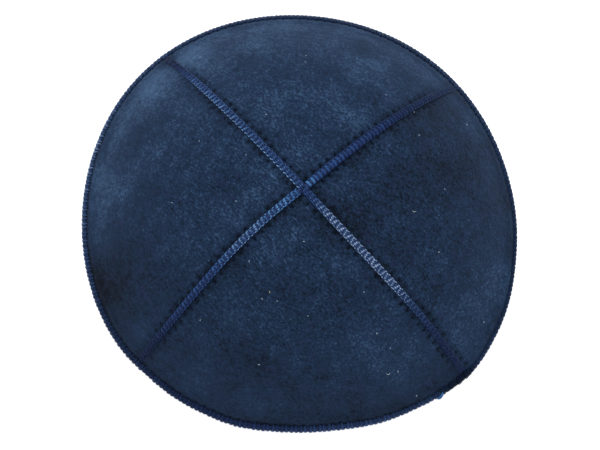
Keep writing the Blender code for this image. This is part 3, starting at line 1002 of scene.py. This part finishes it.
def parted_share(line, habit, length):
    """0 where the wraps lie close and even, as over the top, and 1 where they have parted."""
    return np.clip((length / line.length[-1] - habit.close_to) / FRAY_SHARE, 0.0, 1.0)


for arm_name, habit in ARM_HABITS.items():
    print(arm_name, "dark threads along the ridge:", len(habit.snakes))

# %% [markdown]
# ## The ridge
# Every thread of a seam is placed by three numbers: its length along the seam, how far it lies to
# the side, and its height over the suede. The height comes from one rule, a rounded ridge that is
# worn lower towards the rim and pulled flat by the rim's own wraps.

# %% Places along a seam and the height of its ridge
HALF_SEAM = SEAM_WIDTH / 2
WORN_SHARE = 0.28           # how much lower a seam lies at the rim than at the crossing
RIDGE_POWER = 2.6           # 2 would be an ellipse, and more is squarer
RIDGE_SUNK = 0.05 * MM


def seam_place(line, length):
    """X, Y and the sideways direction of a seam at lengths along it."""
    x, y = (np.interp(length, line.length, way) for way in (line.x, line.y))
    ahead_x, ahead_y = (np.interp(length + MM, line.length, way)
                        - np.interp(length - MM, line.length, way) for way in (line.x, line.y))
    run = np.hypot(ahead_x, ahead_y)
    return x, y, -ahead_y / run, ahead_x / run


def along_seam(line, length):
    """The direction in which a seam runs, level with the ground."""
    _, _, side_x, side_y = seam_place(line, length)
    return np.stack((side_y, -side_x, np.zeros_like(side_x)), axis=-1)


def face_up(line, length):
    """The direction out of the face at lengths along a seam."""
    x, y, _, _ = seam_place(line, length)
    return face_normal(x, y)


def seam_points(line, length, side, lift):
    """Points beside a seam's middle, over the face of the suede."""
    x, y, side_x, side_y = seam_place(line, length)
    return on_face(x + side_x * side, y + side_y * side, lift)


def layer_share(line, length):
    """How thick the seam still is: worn lower from halfway on, and pulled flat by the rim."""
    faded = np.clip(1.0 - (line.length[-1] - length) / SEAM_FADE_LENGTH, 0.0, 1.0)
    worn = 1.0 - WORN_SHARE * np.clip(length / line.length[-1] * 2.0 - 1.0, 0.0, 1.0)
    return worn * (1.0 - SEAM_FADE_SHARE * faded ** 2)


def ridge_lift(line, length, side_share):
    """The height of the ridge's outside over the suede, at a share of its half width."""
    rise = np.sqrt(np.maximum(0.0, 1.0 - np.abs(side_share) ** RIDGE_POWER))
    top = CLEARANCE + SEAM_LAYER
    return (top * rise - RIDGE_SUNK) * layer_share(line, length)


for arm_name, line in LINES.items():
    height = ridge_lift(line, line.length[-1] * 0.25, 0.0)
    print(arm_name, "height of the ridge at a quarter:", round(float(height) / MM, 2), "mm")

# %% [markdown]
# ## Bundles over the ridge
# Each stitch lays two bundles of three strands across the joint. They lean one way and the other
# by turns, so that pairs meet at one side and part at the other. Close to the top of the cap they
# lie side by side, and further out they have parted. Where a strand rises it catches the light
# and where it dips it doesn't, which the eye reads as flecks, so a wave along each strand changes
# its brightness and its thickness together.

# %% Bundles of one arm
STRAND_RADIUS = 0.20 * MM
BUNDLE_STRANDS = (-1, 0, 1)
STRAND_SPACING = 0.40 * MM
STRAND_POINTS = 13
STRAND_SIDES = 6
WRAP_HALF = 0.90            # how far the bundles reach, as a share of the seam's half width
FLECKS = 1.9                # how many flecks there are from the middle of a bundle to its end


def bundle_middles(line):
    """Where the bundles of a seam lie along it, two for each stitch."""
    apart = (-line.pitch / 4, line.pitch / 4)
    return np.repeat(line.stitches, 2) + np.tile(apart, len(line.stitches))


def add_wraps(work, name, draw):
    """The bundles that cross the ridge."""
    line = LINES[name]
    habit = ARM_HABITS[name]
    middles = bundle_middles(line)
    bundle = np.repeat(np.arange(len(middles)), len(BUNDLE_STRANDS))
    strand = np.tile(BUNDLE_STRANDS, len(middles))[:, None]
    count = len(bundle)
    across = np.linspace(-WRAP_HALF, WRAP_HALF, STRAND_POINTS)[None, :]
    second = np.where(bundle % 2, 1.0, -1.0)[:, None]
    parted = parted_share(line, habit, middles)[bundle][:, None]
    spacing = STRAND_SPACING * (1.35 - 0.35 * parted) * (1 - 0.12 * across ** 2)
    out = (middles / line.length[-1])[bundle][:, None]
    lean = second * changing(habit.lean_mm, out) * MM
    lean = lean * draw.uniform(0.5, 1.4, (len(middles), 1))[bundle]
    jitter = draw.uniform(-0.13, 0.13, (len(middles), 1))[bundle] * MM
    length = (middles[bundle][:, None] + strand * spacing
              + (lean * across + jitter) * (0.6 + 0.4 * parted))
    share = length / line.length[-1]
    crown = 1.0 - 0.10 * strand ** 2
    tight = draw.uniform(0.94, 1.04, (count, 1))
    lift = ridge_lift(line, length, across) * crown * tight - STRAND_RADIUS
    side = across * HALF_SEAM * shade_along(name, share, "width")
    paths = seam_points(line, length, side, lift)
    turned = 0.25 * math.tau * second + draw.uniform(-0.8, 0.8, (len(middles), 1))[bundle]
    fleck = np.cos(across * math.tau * FLECKS + turned + 0.4 * strand)
    flecked = changing(habit.flecked, out) + 0.25 * (1.0 - parted)
    stitch = 1.0 + draw.uniform(-0.12, 0.12, (len(line.stitches), 1))[bundle // 2] * parted
    # Painted light: the arm's tone and the tilt light the side towards the lamp, the flanks of the
    # ridge are painted in shade, the flecks are painted highlights where the strands rise, and the
    # middle strand of each bundle is painted as a highlight
    tone = shade_along(name, share, "tone") * stitch + draw.uniform(-0.07, 0.07, (count, 1))
    uneven = changing(habit.tilt, out) * across + habit.pairs * second * parted
    tone = tone * (1.0 - 0.30 * np.abs(across) ** 3 + uneven)
    tone = tone * (1.0 - flecked * (0.5 - 0.5 * fleck))
    tone = tone * np.where(strand == 0, 1.10, 0.80 - 0.14 * out)
    silver = shade_along(name, share, "silver") + 0.0 * across
    radius = STRAND_RADIUS * (1.12 - 0.12 * parted + 0.08 * fleck)
    work.add_tubes(paths, along_seam(line, length), radius, STRAND_SIDES, tone, silver)


print("bundles on the north-east arm:", len(bundle_middles(LINES["north_east"])))

# %% [markdown]
# ## Threads along the ridge
# The thread from below comes up between the bundles and snakes along the ridge in one or two dark
# lines. Another runs along each side, bright where it crosses a bundle and dark between, and gives
# the seam its straight edge. Both are long tubes that sway and weave once or twice a stitch.

# %% Long threads of one arm
LONG_STEP = 0.33 * MM       # between two rings of a long thread
LONG_SIDES = 5
SNAKE_RADIUS = 0.15 * MM
SNAKE_SINKS = 0.40 * MM
EDGE_THREAD_SIDE = 0.84     # as a share of the seam's half width


def add_snakes(work, name):
    """The darker threads that run along the ridge and over its bundles."""
    line = LINES[name]
    habit = ARM_HABITS[name]
    length = np.arange(0.0, line.length[-1], LONG_STEP)[None, :]
    share = length / line.length[-1]
    under = np.clip((share - habit.snakes_to) / 0.03, 0.0, 1.0)
    for place in habit.snakes:
        phase = math.tau * length / line.pitch + (0.0 if place < 0 else math.pi)
        across = place + 0.17 * np.sin(phase)
        weave = 0.08 * MM * np.cos(2.0 * phase)
        lift = ridge_lift(line, length, across) - 0.03 * MM + weave - SNAKE_SINKS * under
        paths = seam_points(line, length, across * HALF_SEAM, lift)
        tone = 0.05 + 0.38 * shade_along(name, share, "tone")
        work.add_tubes(paths, face_up(line, length), SNAKE_RADIUS, LONG_SIDES, tone, 0.3)


def add_edge_threads(work, name):
    """The thread that runs along each side of the ridge and gives it a straight edge."""
    line = LINES[name]
    habit = ARM_HABITS[name]
    length = np.arange(line.stitches[0] - line.pitch / 2, line.length[-1], LONG_STEP)[None, :]
    share = length / line.length[-1]
    width = shade_along(name, share, "width")
    for side, change in ((1.0, habit.left), (-1.0, habit.right)):
        phase = 2.0 * math.tau * length / line.pitch + (0.0 if side < 0 else 1.3)
        across = side * (EDGE_THREAD_SIDE + 0.03 * np.sin(phase))
        lift = ridge_lift(line, length, across) - 0.10 * MM + 0.05 * MM * np.cos(phase)
        paths = seam_points(line, length, across * HALF_SEAM * width, lift)
        # Painted light: the edge thread is painted bright where it rises over a bundle and dark
        # where it dips, brighter on one side by the habit, and greyer there as a painted glint
        bright = 1.0 + change * (1.0 - share)
        tone = shade_along(name, share, "tone") * bright * (0.66 + 0.42 * np.cos(phase))
        silver = np.minimum(shade_along(name, share, "silver") + max(0.0, change), 1.0)
        radius = (0.17 + 0.05 * np.cos(phase)) * MM
        work.add_tubes(paths, face_up(line, length), radius, LONG_SIDES, tone, silver)


rings = round(LINES["north_east"].length[-1] / LONG_STEP)
print("rings of a long thread on the north-east arm, about:", rings)

# %% [markdown]
# ## Needle strokes
# On both sides of the ridge a short dark stroke runs to each needle hole and goes down it, painted
# darker towards the hole as the shade in it. Three thin tubes side by side make one, because a
# single thick one would look like a peg.

# %% Needle strokes of one arm
STROKE_OUT_MM = (1.45, 1.75, 2.1, 2.5, 2.9, 3.2, 3.35)         # from the seam's middle outwards
STROKE_LIFT_MM = (-0.15, -0.26, -0.20, -0.20, -0.30, -0.55, -1.0)
STROKE_SHIFTS_MM = (-0.32, 0.0, 0.32)
STROKE_RADIUS = 0.20 * MM
STROKE_SIDES = 6


def add_needle_strokes(work, name, draw):
    """On both sides, the short strokes that leave the ridge and go down needle holes, painted dark
    there as their shade.
    """
    line = LINES[name]
    side = np.tile((-1.0, 1.0), len(line.stitches))[:, None]
    middle = np.repeat(line.stitches, 2)[:, None] + draw.uniform(-0.22, 0.22, (len(side), 1)) * MM
    out = np.array(STROKE_OUT_MM)[None, :]
    reach = draw.uniform(0.93, 1.07, (len(side), 1))
    slack = slack_share(line, middle)
    lift = np.array(STROKE_LIFT_MM)[None, :] - 0.25 * (1.0 - slack) + 0.0 * side
    # Painted shade: the stroke darkens towards its needle hole
    tone = 0.14 - 0.34 * hump(out - NEEDLE_SIDE_MM, 0.7) + 0.0 * side
    for shift in STROKE_SHIFTS_MM:
        length = middle + shift * slack * MM + 0.0 * out
        paths = seam_points(line, length, side * out * reach * MM, lift * MM)
        work.add_tubes(paths, along_seam(line, length), STROKE_RADIUS, STROKE_SIDES, tone, 1.0)


print("strokes on the north-east arm:", 2 * len(LINES["north_east"].stitches))

# %% [markdown]
# ## Backing and core
# Inside the cap the same stitches show as flat wraps. Between them and the ridge lies the thread
# that can't be seen. It is one dark bar of I section, which keeps light from falling through
# between the wraps, and holds to the sizes of the frame's own solid. Where it shows between the
# wraps, its dark colour is painted shade.

# %% Backing and core of one arm
BACKING_RADIUS = 0.24 * MM
BACKING_LEAN = 0.34 * MM
CORE_STEPS = 90


def add_backing(work, name):
    """The flat wraps on the inside of the cap."""
    line = LINES[name]
    middles = bundle_middles(line)
    bundle = np.repeat(np.arange(len(middles)), 2)
    strand = np.tile((-0.5, 0.5), len(middles))[:, None]
    across = np.linspace(-1.0, 1.0, 7)[None, :]
    lean = np.where(bundle % 2, 1.0, -1.0)[:, None] * BACKING_LEAN
    length = middles[bundle][:, None] + strand * 0.7 * MM + lean * across
    depth = SUEDE_THICKNESS + CLEARANCE + 0.30 * MM * np.sqrt(1.0 - 0.8 * across ** 4)
    paths = seam_points(line, length, across * HALF_SEAM * 0.95, -depth + 0.0 * length)
    work.add_tubes(paths, along_seam(line, length), BACKING_RADIUS, LONG_SIDES, 0.36, 0.3)


def add_core(work, name):
    """The dark thread inside the ridge, between the panels and under the backing."""
    line = LINES[name]
    length = np.linspace(0.0, line.length[-1], CORE_STEPS)[:, None]
    half = 0.86 * HALF_SEAM / MM
    web = SEAM_WEB / 2 / MM
    under = (SUEDE_THICKNESS + CLEARANCE) / MM
    section = [(0.0, 0.78), (0.5 * half, 0.70), (half, 0.25), (half, 0.02), (web, 0.02),
               (web, -under), (half, -under), (half, -under - 0.25)]
    section = section + [(-side, lift) for side, lift in section[:0:-1]]
    side = np.array([corner[0] for corner in section])[None, :] * MM
    lift = np.array([corner[1] for corner in section])[None, :] * MM
    share = length / line.length[-1]
    narrow = np.where(lift > 0, 0.95 * np.minimum(shade_along(name, share, "width"), 1.0), 1.0)
    lift = np.where(lift > 0, lift * layer_share(line, length), lift)
    points = seam_points(line, length + 0.0 * side, side * narrow, lift)
    rows, columns = points.shape[:2]
    index = np.arange(rows * columns).reshape(rows, columns)
    turned = np.roll(index, -1, axis=1)
    walls = np.stack((index[:-1], index[1:], turned[1:], turned[:-1]), axis=-1).reshape(-1, 4)
    faces = walls.tolist() + [index[0].tolist(), index[-1, ::-1].tolist()]
    flat = points.reshape(-1, 3)
    zero = np.zeros(len(flat))
    # Painted shade: the core is dark, darker where the arm's tone is low, and shows in the gaps
    # between the wraps
    tone = 0.07 + 0.26 * shade_along(name, share, "tone") + 0.0 * side
    work.add(flat, faces, tone.ravel(), zero + 0.3, zero)


core_step = LINES["north_east"].length[-1] / (CORE_STEPS - 1)
print("from one section of the core to the next:", round(core_step / MM, 2), "mm")


# %% Sew the seams
def sew_arm(work, name, seed):
    """All the threads of one arm. The seed decides how they stray."""
    draw = np.random.RandomState(seed)
    add_core(work, name)
    add_wraps(work, name, draw)
    add_snakes(work, name)
    add_edge_threads(work, name)
    add_needle_strokes(work, name, draw)
    add_backing(work, name)


SEAMS = {
    "long_seam": ("north_west", "south_east"),
    "cross_seam_north_east": ("north_east",),
    "cross_seam_south_west": ("south_west",),
}
for seed, (node, arms) in enumerate(SEAMS.items()):
    work = ThreadWork()
    for arm_name in arms:
        sew_arm(work, arm_name, 20 + seed)
    work.finish(node + "_threads", seam_thread, "seam_thread", node)

# %% [markdown]
# ## Overlocked rim
# An overlock machine wraps the cut edge with thread. Both wraps of a stitch come from one needle
# hole and spread towards the edge, which makes the row of dark holes just inside the rim and the
# twice as many beads along the outline. At the south-east corner the machine ran over its own
# start: there the wraps are doubled, dark and thick, and a short end of thread is left.

# %% Way of the wraps round the edge
RIM_STRAND_RADIUS = 0.22 * MM
PATCH_AZIMUTH = 312.5       # the doubled stretch
PATCH_HALF_WIDTH = 5.5

# The way of a wrap round the edge: in from the cut edge along the face, and up from the face
WrapPoint = namedtuple("WrapPoint", "inset lift")
WRAP_PATH = (
    WrapPoint(2.25, -0.60), WrapPoint(2.1, 0.05), WrapPoint(1.75, 0.46), WrapPoint(1.3, 0.60),
    WrapPoint(0.8, 0.66), WrapPoint(0.3, 0.67), WrapPoint(-0.15, 0.58), WrapPoint(-0.50, 0.30),
    WrapPoint(-0.67, -0.20), WrapPoint(-0.68, -0.90), WrapPoint(-0.52, -1.50),
    WrapPoint(-0.12, -1.94), WrapPoint(0.5, -2.06), WrapPoint(1.1, -2.02), WrapPoint(1.7, -1.90),
    WrapPoint(2.0, -1.45),
)
CORE_SECTION = (
    WrapPoint(1.9, 0.10), WrapPoint(1.2, 0.40), WrapPoint(0.3, 0.48), WrapPoint(-0.32, 0.36),
    WrapPoint(-0.60, -0.15), WrapPoint(-0.64, -0.90), WrapPoint(-0.48, -1.40),
    WrapPoint(-0.15, -1.72), WrapPoint(0.6, -1.82), WrapPoint(1.9, -1.62),
    WrapPoint(1.9, -1.45), WrapPoint(0.2, -1.45), WrapPoint(0.05, 0.05),
)


def on_circle(azimuth):
    """X and Y of the cut edge at an azimuth."""
    return edge_radius(azimuth) * np.cos(azimuth), edge_radius(azimuth) * np.sin(azimuth)


def rim_points(azimuth, inset, lift):
    """Points round the cut edge, and the way along it. A negative inset lies outside it."""
    edge = edge_radius(azimuth)
    radius = edge - np.maximum(inset, 0.0) * math.cos(EDGE_SLOPE)
    x, y = radius * np.cos(azimuth), radius * np.sin(azimuth)
    normal = face_normal(x, y)
    before = on_face(*on_circle(azimuth - TURN_STEP), np.zeros_like(azimuth))
    after = on_face(*on_circle(azimuth + TURN_STEP), np.zeros_like(azimuth))
    outwards = np.cross(unit(after - before), normal)
    out = np.maximum(-inset, 0.0)[..., None]
    return on_face(x, y, lift) + outwards * out, unit(after - before)


def patch_share(azimuth):
    """1 in the doubled stretch at the corner, and 0 away from it."""
    away = turn_between(azimuth, PATCH_AZIMUTH) / math.radians(PATCH_HALF_WIDTH)
    return np.exp(-away ** 4)


print("doubled stretch:", PATCH_AZIMUTH, "degrees, and", PATCH_HALF_WIDTH, "to each side")


# %% Colours of the rim
def rim_tone(azimuth):
    """Paler on the left, partly as a painted highlight towards the lamp; royal blue on the near
    side; darker at the lower left, at the right and in the doubled stretch; greyer all round but
    the near side.
    """
    left = towards(azimuth, 162.0, 0.48)
    near = towards(azimuth, 284.0, 0.32)
    dark = towards(azimuth, 234.0, 0.55)
    right = towards(azimuth, 340.0, 0.50)
    clean = towards(azimuth, 252.0, 0.75)
    tone = 0.38 + 0.34 * left + 0.03 * near - 0.16 * dark - 0.14 * right
    return tone * (1.0 - 0.95 * patch_share(azimuth)), 0.85 - 0.60 * clean


for side, degrees in (("right", 0), ("far", 90), ("left", 180), ("near", 270)):
    tone, silver = rim_tone(math.radians(degrees))
    print(side, "side, tone and silver:", round(float(tone), 2), round(float(silver), 2))


# %% Wraps of the rim
def add_rim_wraps(work):
    """The bundles round the edge, two for each stitch, of three strands as in the seams."""
    draw = np.random.RandomState(7)
    count = 2 * RIM_STITCHES
    bundle = np.repeat(np.arange(count), len(BUNDLE_STRANDS))
    strand = np.tile(BUNDLE_STRANDS, count)[:, None]
    inset = np.array([point.inset for point in WRAP_PATH])[None, :]
    lift = np.array([point.lift for point in WRAP_PATH])[None, :]
    pair = np.where(bundle % 2, 1.0, -1.0)[:, None]
    inwards = np.clip(inset / 2.2, 0.0, 1.0)
    stitch = (bundle // 2)[:, None]
    about = stitch / RIM_STITCHES * math.tau
    loose = towards(about, 205.0, 1.7)
    spacing = (0.52 - 0.12 * loose + 0.10 * patch_share(about)) / RIM_STITCH_MM
    shift = (pair * 0.25 * (1.0 - 0.40 * inwards)
             + strand * spacing * (1.0 - 0.40 * inwards)
             + draw.uniform(-0.035, 0.035, (count, 1))[bundle] * (1.0 - 0.6 * inwards))
    length = (stitch + shift) / RIM_STITCHES * RIM_LENGTH[-1]
    azimuth = np.interp(np.remainder(length, RIM_LENGTH[-1]), RIM_LENGTH, RIM_TURN)
    doubled = patch_share(azimuth)
    reach = rim_reach_share(azimuth) + draw.uniform(-0.06, 0.06, (count, 1))[bundle]
    reach = reach + 0.55 * doubled
    height = lift + np.where(lift > 0, 0.30, 0.0) * doubled - 0.05 * strand ** 2
    bulge = 1.03 + 0.20 * towards(azimuth, 268.0, 0.80) + 0.60 * towards(azimuth, 130.0, 0.035)
    ragged = 0.17 * loose + 0.30 * doubled
    bulge = bulge + draw.normal(0.0, 1.0, (count, 1))[bundle] * ragged - 0.05 * strand ** 2
    paths, along = rim_points(azimuth, np.where(inset > 0, inset * reach, inset * bulge) * MM,
                              height * MM)
    paths[..., 2] = np.maximum(paths[..., 2], RIM_STRAND_RADIUS + 0.02 * MM)
    tone, silver = rim_tone(azimuth)
    # Painted light: each bead is painted bright where the wrap turns over the edge and painted in
    # shade further in, and the middle strand of each bundle is painted as a highlight, most on the
    # left
    bead = hump(inset, 0.95)
    brightness = draw.uniform(0.80, 1.14, (count, 1))[bundle]
    beaded = towards(azimuth, 165.0, 0.5)
    tone = tone * brightness * (0.72 + 0.42 * bead)
    tone = tone * np.where(strand == 0, 1.14 + 0.12 * beaded, 0.76 - 0.14 * beaded)
    radius = RIM_STRAND_RADIUS * (1.0 + 0.10 * bead)
    work.add_tubes(paths, along, radius + 0.0 * tone, STRAND_SIDES, tone, silver)


print("strands round the rim:", 2 * RIM_STITCHES * len(BUNDLE_STRANDS))


# %% Core, needle holes and end of thread
HOLE_SHIFTS_MM = (-0.3, 0.0, 0.3)
HOLE_RADIUS = 0.2 * MM
END_AZIMUTH = 307.5
END_SHIFTS_MM = (-0.36, 0.0, 0.36)
END_RADIUS = 0.24 * MM


def add_rim_core(work):
    """The dark thread under the wraps, which closes the gaps between them; its dark colour there is
    painted shade.
    """
    azimuth = (np.arange(2 * RIM_STITCHES) * math.tau / (2 * RIM_STITCHES))[:, None]
    inset = np.array([corner.inset for corner in CORE_SECTION])[None, :]
    lift = np.array([corner.lift for corner in CORE_SECTION])[None, :]
    azimuth = azimuth + 0.0 * inset
    reach = np.where(inset > 0.5, rim_reach_share(azimuth) + 0.4 * patch_share(azimuth), 1.0)
    points, _ = rim_points(azimuth, inset * reach * MM, (lift + 0.0 * azimuth) * MM)
    points[..., 2] = np.maximum(points[..., 2], 0.05 * MM)
    rows, columns = points.shape[:2]
    index = np.arange(rows * columns).reshape(rows, columns)
    turned, ahead = np.roll(index, -1, axis=1), np.roll(index, -1, axis=0)
    both = np.roll(ahead, -1, axis=1)
    walls = np.stack((index, turned, both, ahead), axis=-1).reshape(-1, 4)
    flat = points.reshape(-1, 3)
    tone, silver = rim_tone(azimuth)
    work.add(flat, walls.tolist(), 0.5 * tone.ravel(), silver.ravel(), np.zeros(len(flat)))


def add_needle_holes(work):
    """A knot of thread in each needle hole of the rim, painted dark as the shade of the hole."""
    draw = np.random.RandomState(8)
    length = np.arange(RIM_STITCHES)[:, None] / RIM_STITCHES * RIM_LENGTH[-1]
    out = np.linspace(0.0, 1.0, 5)[None, :]
    azimuth = np.interp(length + 0.0 * out, RIM_LENGTH, RIM_TURN)
    reach = draw.uniform(0.6, 1.15, (RIM_STITCHES, 1))
    share = rim_reach_share(azimuth)
    inset = 1.85 * share + (0.2 + 0.8 * share) * out * reach + 1.0 * patch_share(azimuth)
    lift = 0.30 - 0.95 * out ** 2 - 0.8 * (1.0 - share)
    tone = 0.05 - 0.2 * out + 0.0 * inset
    for side in HOLE_SHIFTS_MM:
        paths, along = rim_points(azimuth + side * MM / RIM_RADIUS, inset * MM, lift * MM)
        work.add_tubes(paths, along, HOLE_RADIUS, 4, tone, 0.5)


def add_thread_end(work):
    """The short bright end of thread that was left at the corner."""
    step = np.linspace(0.0, 1.0, 10)[None, :]
    for side in END_SHIFTS_MM:
        azimuth = np.radians(END_AZIMUTH - (1.9 + 0.5 * side) * step)
        inset = 0.55 + side - 1.45 * np.sin(step * 1.9)
        lift = 0.95 - 0.30 * abs(side) - 0.55 * step ** 2
        paths, along = rim_points(azimuth, inset * MM, lift * MM)
        up = np.zeros_like(paths) + (0.0, 0.0, 1.0)
        work.add_tubes(paths, up, END_RADIUS, STRAND_SIDES, 0.66, 0.0)


print("thread left over at the corner:", len(END_SHIFTS_MM), "strands")

# %% Sew the rim
rim_work = ThreadWork()
add_rim_core(rim_work)
add_rim_wraps(rim_work)
add_needle_holes(rim_work)
add_thread_end(rim_work)
rim = rim_work.finish("rim_wraps", rim_thread, "rim_thread", "rim_overlock")

# %% [markdown]
# ## Lint
# Suede gathers specks of cotton lint, and in the photograph they are what the eye measures the
# nap by. Each speck is placed by its pixel in the picture: a ray from the camera through the pixel
# is followed until it meets the face of the suede, so the speck lies on the cap from every side.

# %% From a pixel to the suede
def suede_under_pixel(column, row):
    """X and Y, from the crossing, where the ray through a pixel meets the suede."""
    tilt = VIEW_ELEVATION
    up = np.array((0.0, math.sin(tilt), math.cos(tilt)))
    back = np.array((0.0, -math.cos(tilt), math.sin(tilt)))
    pixel = camera.data.sensor_width / PICTURE_WIDTH
    ray = -back * VIEW_LENS + up * (PICTURE_HEIGHT / 2 - row) * pixel
    ray[0] = (column - PICTURE_WIDTH / 2) * pixel
    eye = np.array(camera.location) - CROSSING
    place = eye + ray * (EDGE_HEIGHT + DOME_RISE - eye[2]) / ray[2]
    for _ in range(12):
        place = eye + ray * (face_height(place[0], place[1]) - eye[2]) / ray[2]
    return place[0], place[1]


middle = suede_under_pixel(PICTURE_WIDTH / 2, PICTURE_HEIGHT / 2)
print("under the middle of the picture:", [round(float(way) / MM, 1) for way in middle], "mm")

# %% Specks of lint
# Straw is 0 for white cotton and 1 for a yellowed fibre
Lint = namedtuple("Lint", "column row length_mm straw", defaults=(0.0,))
LINT = (
    Lint(200, 57, 0.6), Lint(306, 56, 0.5), Lint(305, 62, 0.5), Lint(386, 95, 0.6),
    Lint(414, 112, 0.6), Lint(467, 125, 0.7), Lint(419, 135, 0.6), Lint(199, 141, 0.6),
    Lint(246, 155, 0.5), Lint(266, 114, 0.7), Lint(445, 189, 0.5), Lint(236, 201, 0.5),
    Lint(172, 203, 0.5), Lint(414, 211, 1.2), Lint(304, 241, 0.6), Lint(249, 261, 0.5),
    Lint(439, 252, 0.5), Lint(270, 292, 0.6, 1.0), Lint(262, 299, 0.6), Lint(277, 301, 0.5),
    Lint(364, 292, 0.5), Lint(308, 316, 0.5), Lint(484, 322, 0.6), Lint(200, 320, 0.5),
    Lint(377, 333, 0.6), Lint(390, 348, 0.5), Lint(259, 365, 0.6), Lint(388, 373, 1.3),
    Lint(398, 371, 0.6), Lint(416, 395, 0.6),
)
LINT_RADIUS = 0.11 * MM


def make_lint_material():
    material, tree, shader = new_material("cotton lint")
    straw = add_node(tree, "ShaderNodeAttribute", {"attribute_name": "straw"})
    colour = add_node(tree, "ShaderNodeMix", {"data_type": "RGBA"}, {
        "Factor": straw.outputs["Fac"], MIX_A: linear("#a4b5c4"), MIX_B: linear("#d0b377")})
    tree.links.new(colour.outputs[MIX_OUT], shader.inputs["Base Color"])
    shader.inputs["Roughness"].default_value = 1.0
    shader.inputs["Specular IOR Level"].default_value = 0.1
    return material


def scatter_lint():
    draw = np.random.RandomState(9)
    step = np.linspace(-0.5, 0.5, 5)
    points, faces, straw = [], [], []
    for lint in LINT:
        x, y = suede_under_pixel(lint.column, lint.row)
        heading = draw.uniform(0.0, math.tau)
        bend = draw.uniform(-0.5, 0.5) * lint.length_mm * MM * (1.0 - 4.0 * step ** 2)
        along = step * lint.length_mm * MM
        x = x + along * math.cos(heading) - bend * math.sin(heading)
        y = y + along * math.sin(heading) + bend * math.cos(heading)
        lift = suede_relief(x, y)[0] * MM + LINT_RADIUS * 0.6
        path = on_face(x, y, lift)[None]
        tube, walls, _, _ = tubes(path, face_normal(x, y)[None], LINT_RADIUS, 5)
        start = sum(len(part) for part in points)
        points.append(tube)
        straw += [lint.straw] * len(tube)
        faces += [[corner + start for corner in face] for face in walls]
    return new_piece("lint_specks", np.concatenate(points), faces, make_lint_material(), "suede",
                     straw=straw)


lint_specks = scatter_lint()

# %% [markdown]
# ## Floor and light
# The photograph is lit softly from the far left, on a white that shows no shadow. A large lamp
# there gives the suede its light side, one overhead evens it out, a weaker one fills from the near
# right, and a pale world lifts the rest. The floor is white paper, and glows a little, as over a
# light table, so that it stays white close to the cap. The plain colour transform keeps the hex
# colours as they were picked.


# %% Floor
FLOOR_REACH = 3.0           # from the middle to each side
FLOOR_GLOW = 0.55


def make_floor():
    material, tree, shader = new_material("matte white paper")
    place = add_node(tree, "ShaderNodeTexCoord").outputs["Object"]
    grain = add_node(tree, "ShaderNodeTexNoise", inputs={"Vector": place, "Scale": per_metre(2.0)})
    bump = add_node(tree, "ShaderNodeBump", inputs={
        "Strength": 0.02, "Distance": 0.0001, "Height": grain.outputs[0]})
    tree.links.new(bump.outputs["Normal"], shader.inputs["Normal"])
    shader.inputs["Base Color"].default_value = linear("#fdfdfd")
    shader.inputs["Roughness"].default_value = 0.9
    shader.inputs["Emission Color"].default_value = linear("#ffffff")
    shader.inputs["Emission Strength"].default_value = FLOOR_GLOW
    mesh = bpy.data.meshes.new("floor")
    corners = [(x * FLOOR_REACH, y * FLOOR_REACH, 0.0)
               for x, y in ((-1, -1), (1, -1), (1, 1), (-1, 1))]
    mesh.from_pydata(corners, [], [(0, 1, 2, 3)])
    mesh.materials.append(material)
    floor = bpy.data.objects.new("floor", mesh)
    bpy.context.collection.objects.link(floor)
    floor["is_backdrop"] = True


make_floor()
print("floor:", 2 * FLOOR_REACH, "m square")

# %% Lights
Lamp = namedtuple("Lamp", "name place size power")
LAMPS = (
    Lamp("window", (-0.5, 1.8, 2.1), 1.6, 34.0),
    Lamp("overhead", (0.2, 0.2, 2.6), 2.4, 18.0),
    Lamp("fill", (1.2, -1.6, 1.2), 2.0, 12.0),
)


def make_lamp(lamp):
    light = bpy.data.lights.new(lamp.name, "AREA")
    light.shape = "DISK"
    light.size = lamp.size
    light.energy = lamp.power
    holder = bpy.data.objects.new(lamp.name, light)
    holder.location = lamp.place
    holder.rotation_euler = (-Vector(lamp.place)).to_track_quat("-Z", "Y").to_euler()
    bpy.context.collection.objects.link(holder)


for lamp in LAMPS:
    make_lamp(lamp)
world = bpy.data.worlds.new("pale room")
world.use_nodes = True
world.node_tree.nodes["Background"].inputs["Color"].default_value = linear("#f2f5fa")
world.node_tree.nodes["Background"].inputs["Strength"].default_value = 0.48
bpy.context.scene.world = world
bpy.context.scene.view_settings.view_transform = "Standard"
print("lamps:", ", ".join(lamp.name for lamp in LAMPS))

# %% Sizes of the visual pieces
visual_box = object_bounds()
for axis, low, high in zip("XYZ", *visual_box):
    print(axis, round(low / MM, 2), "to", round(high / MM, 2), "mm")
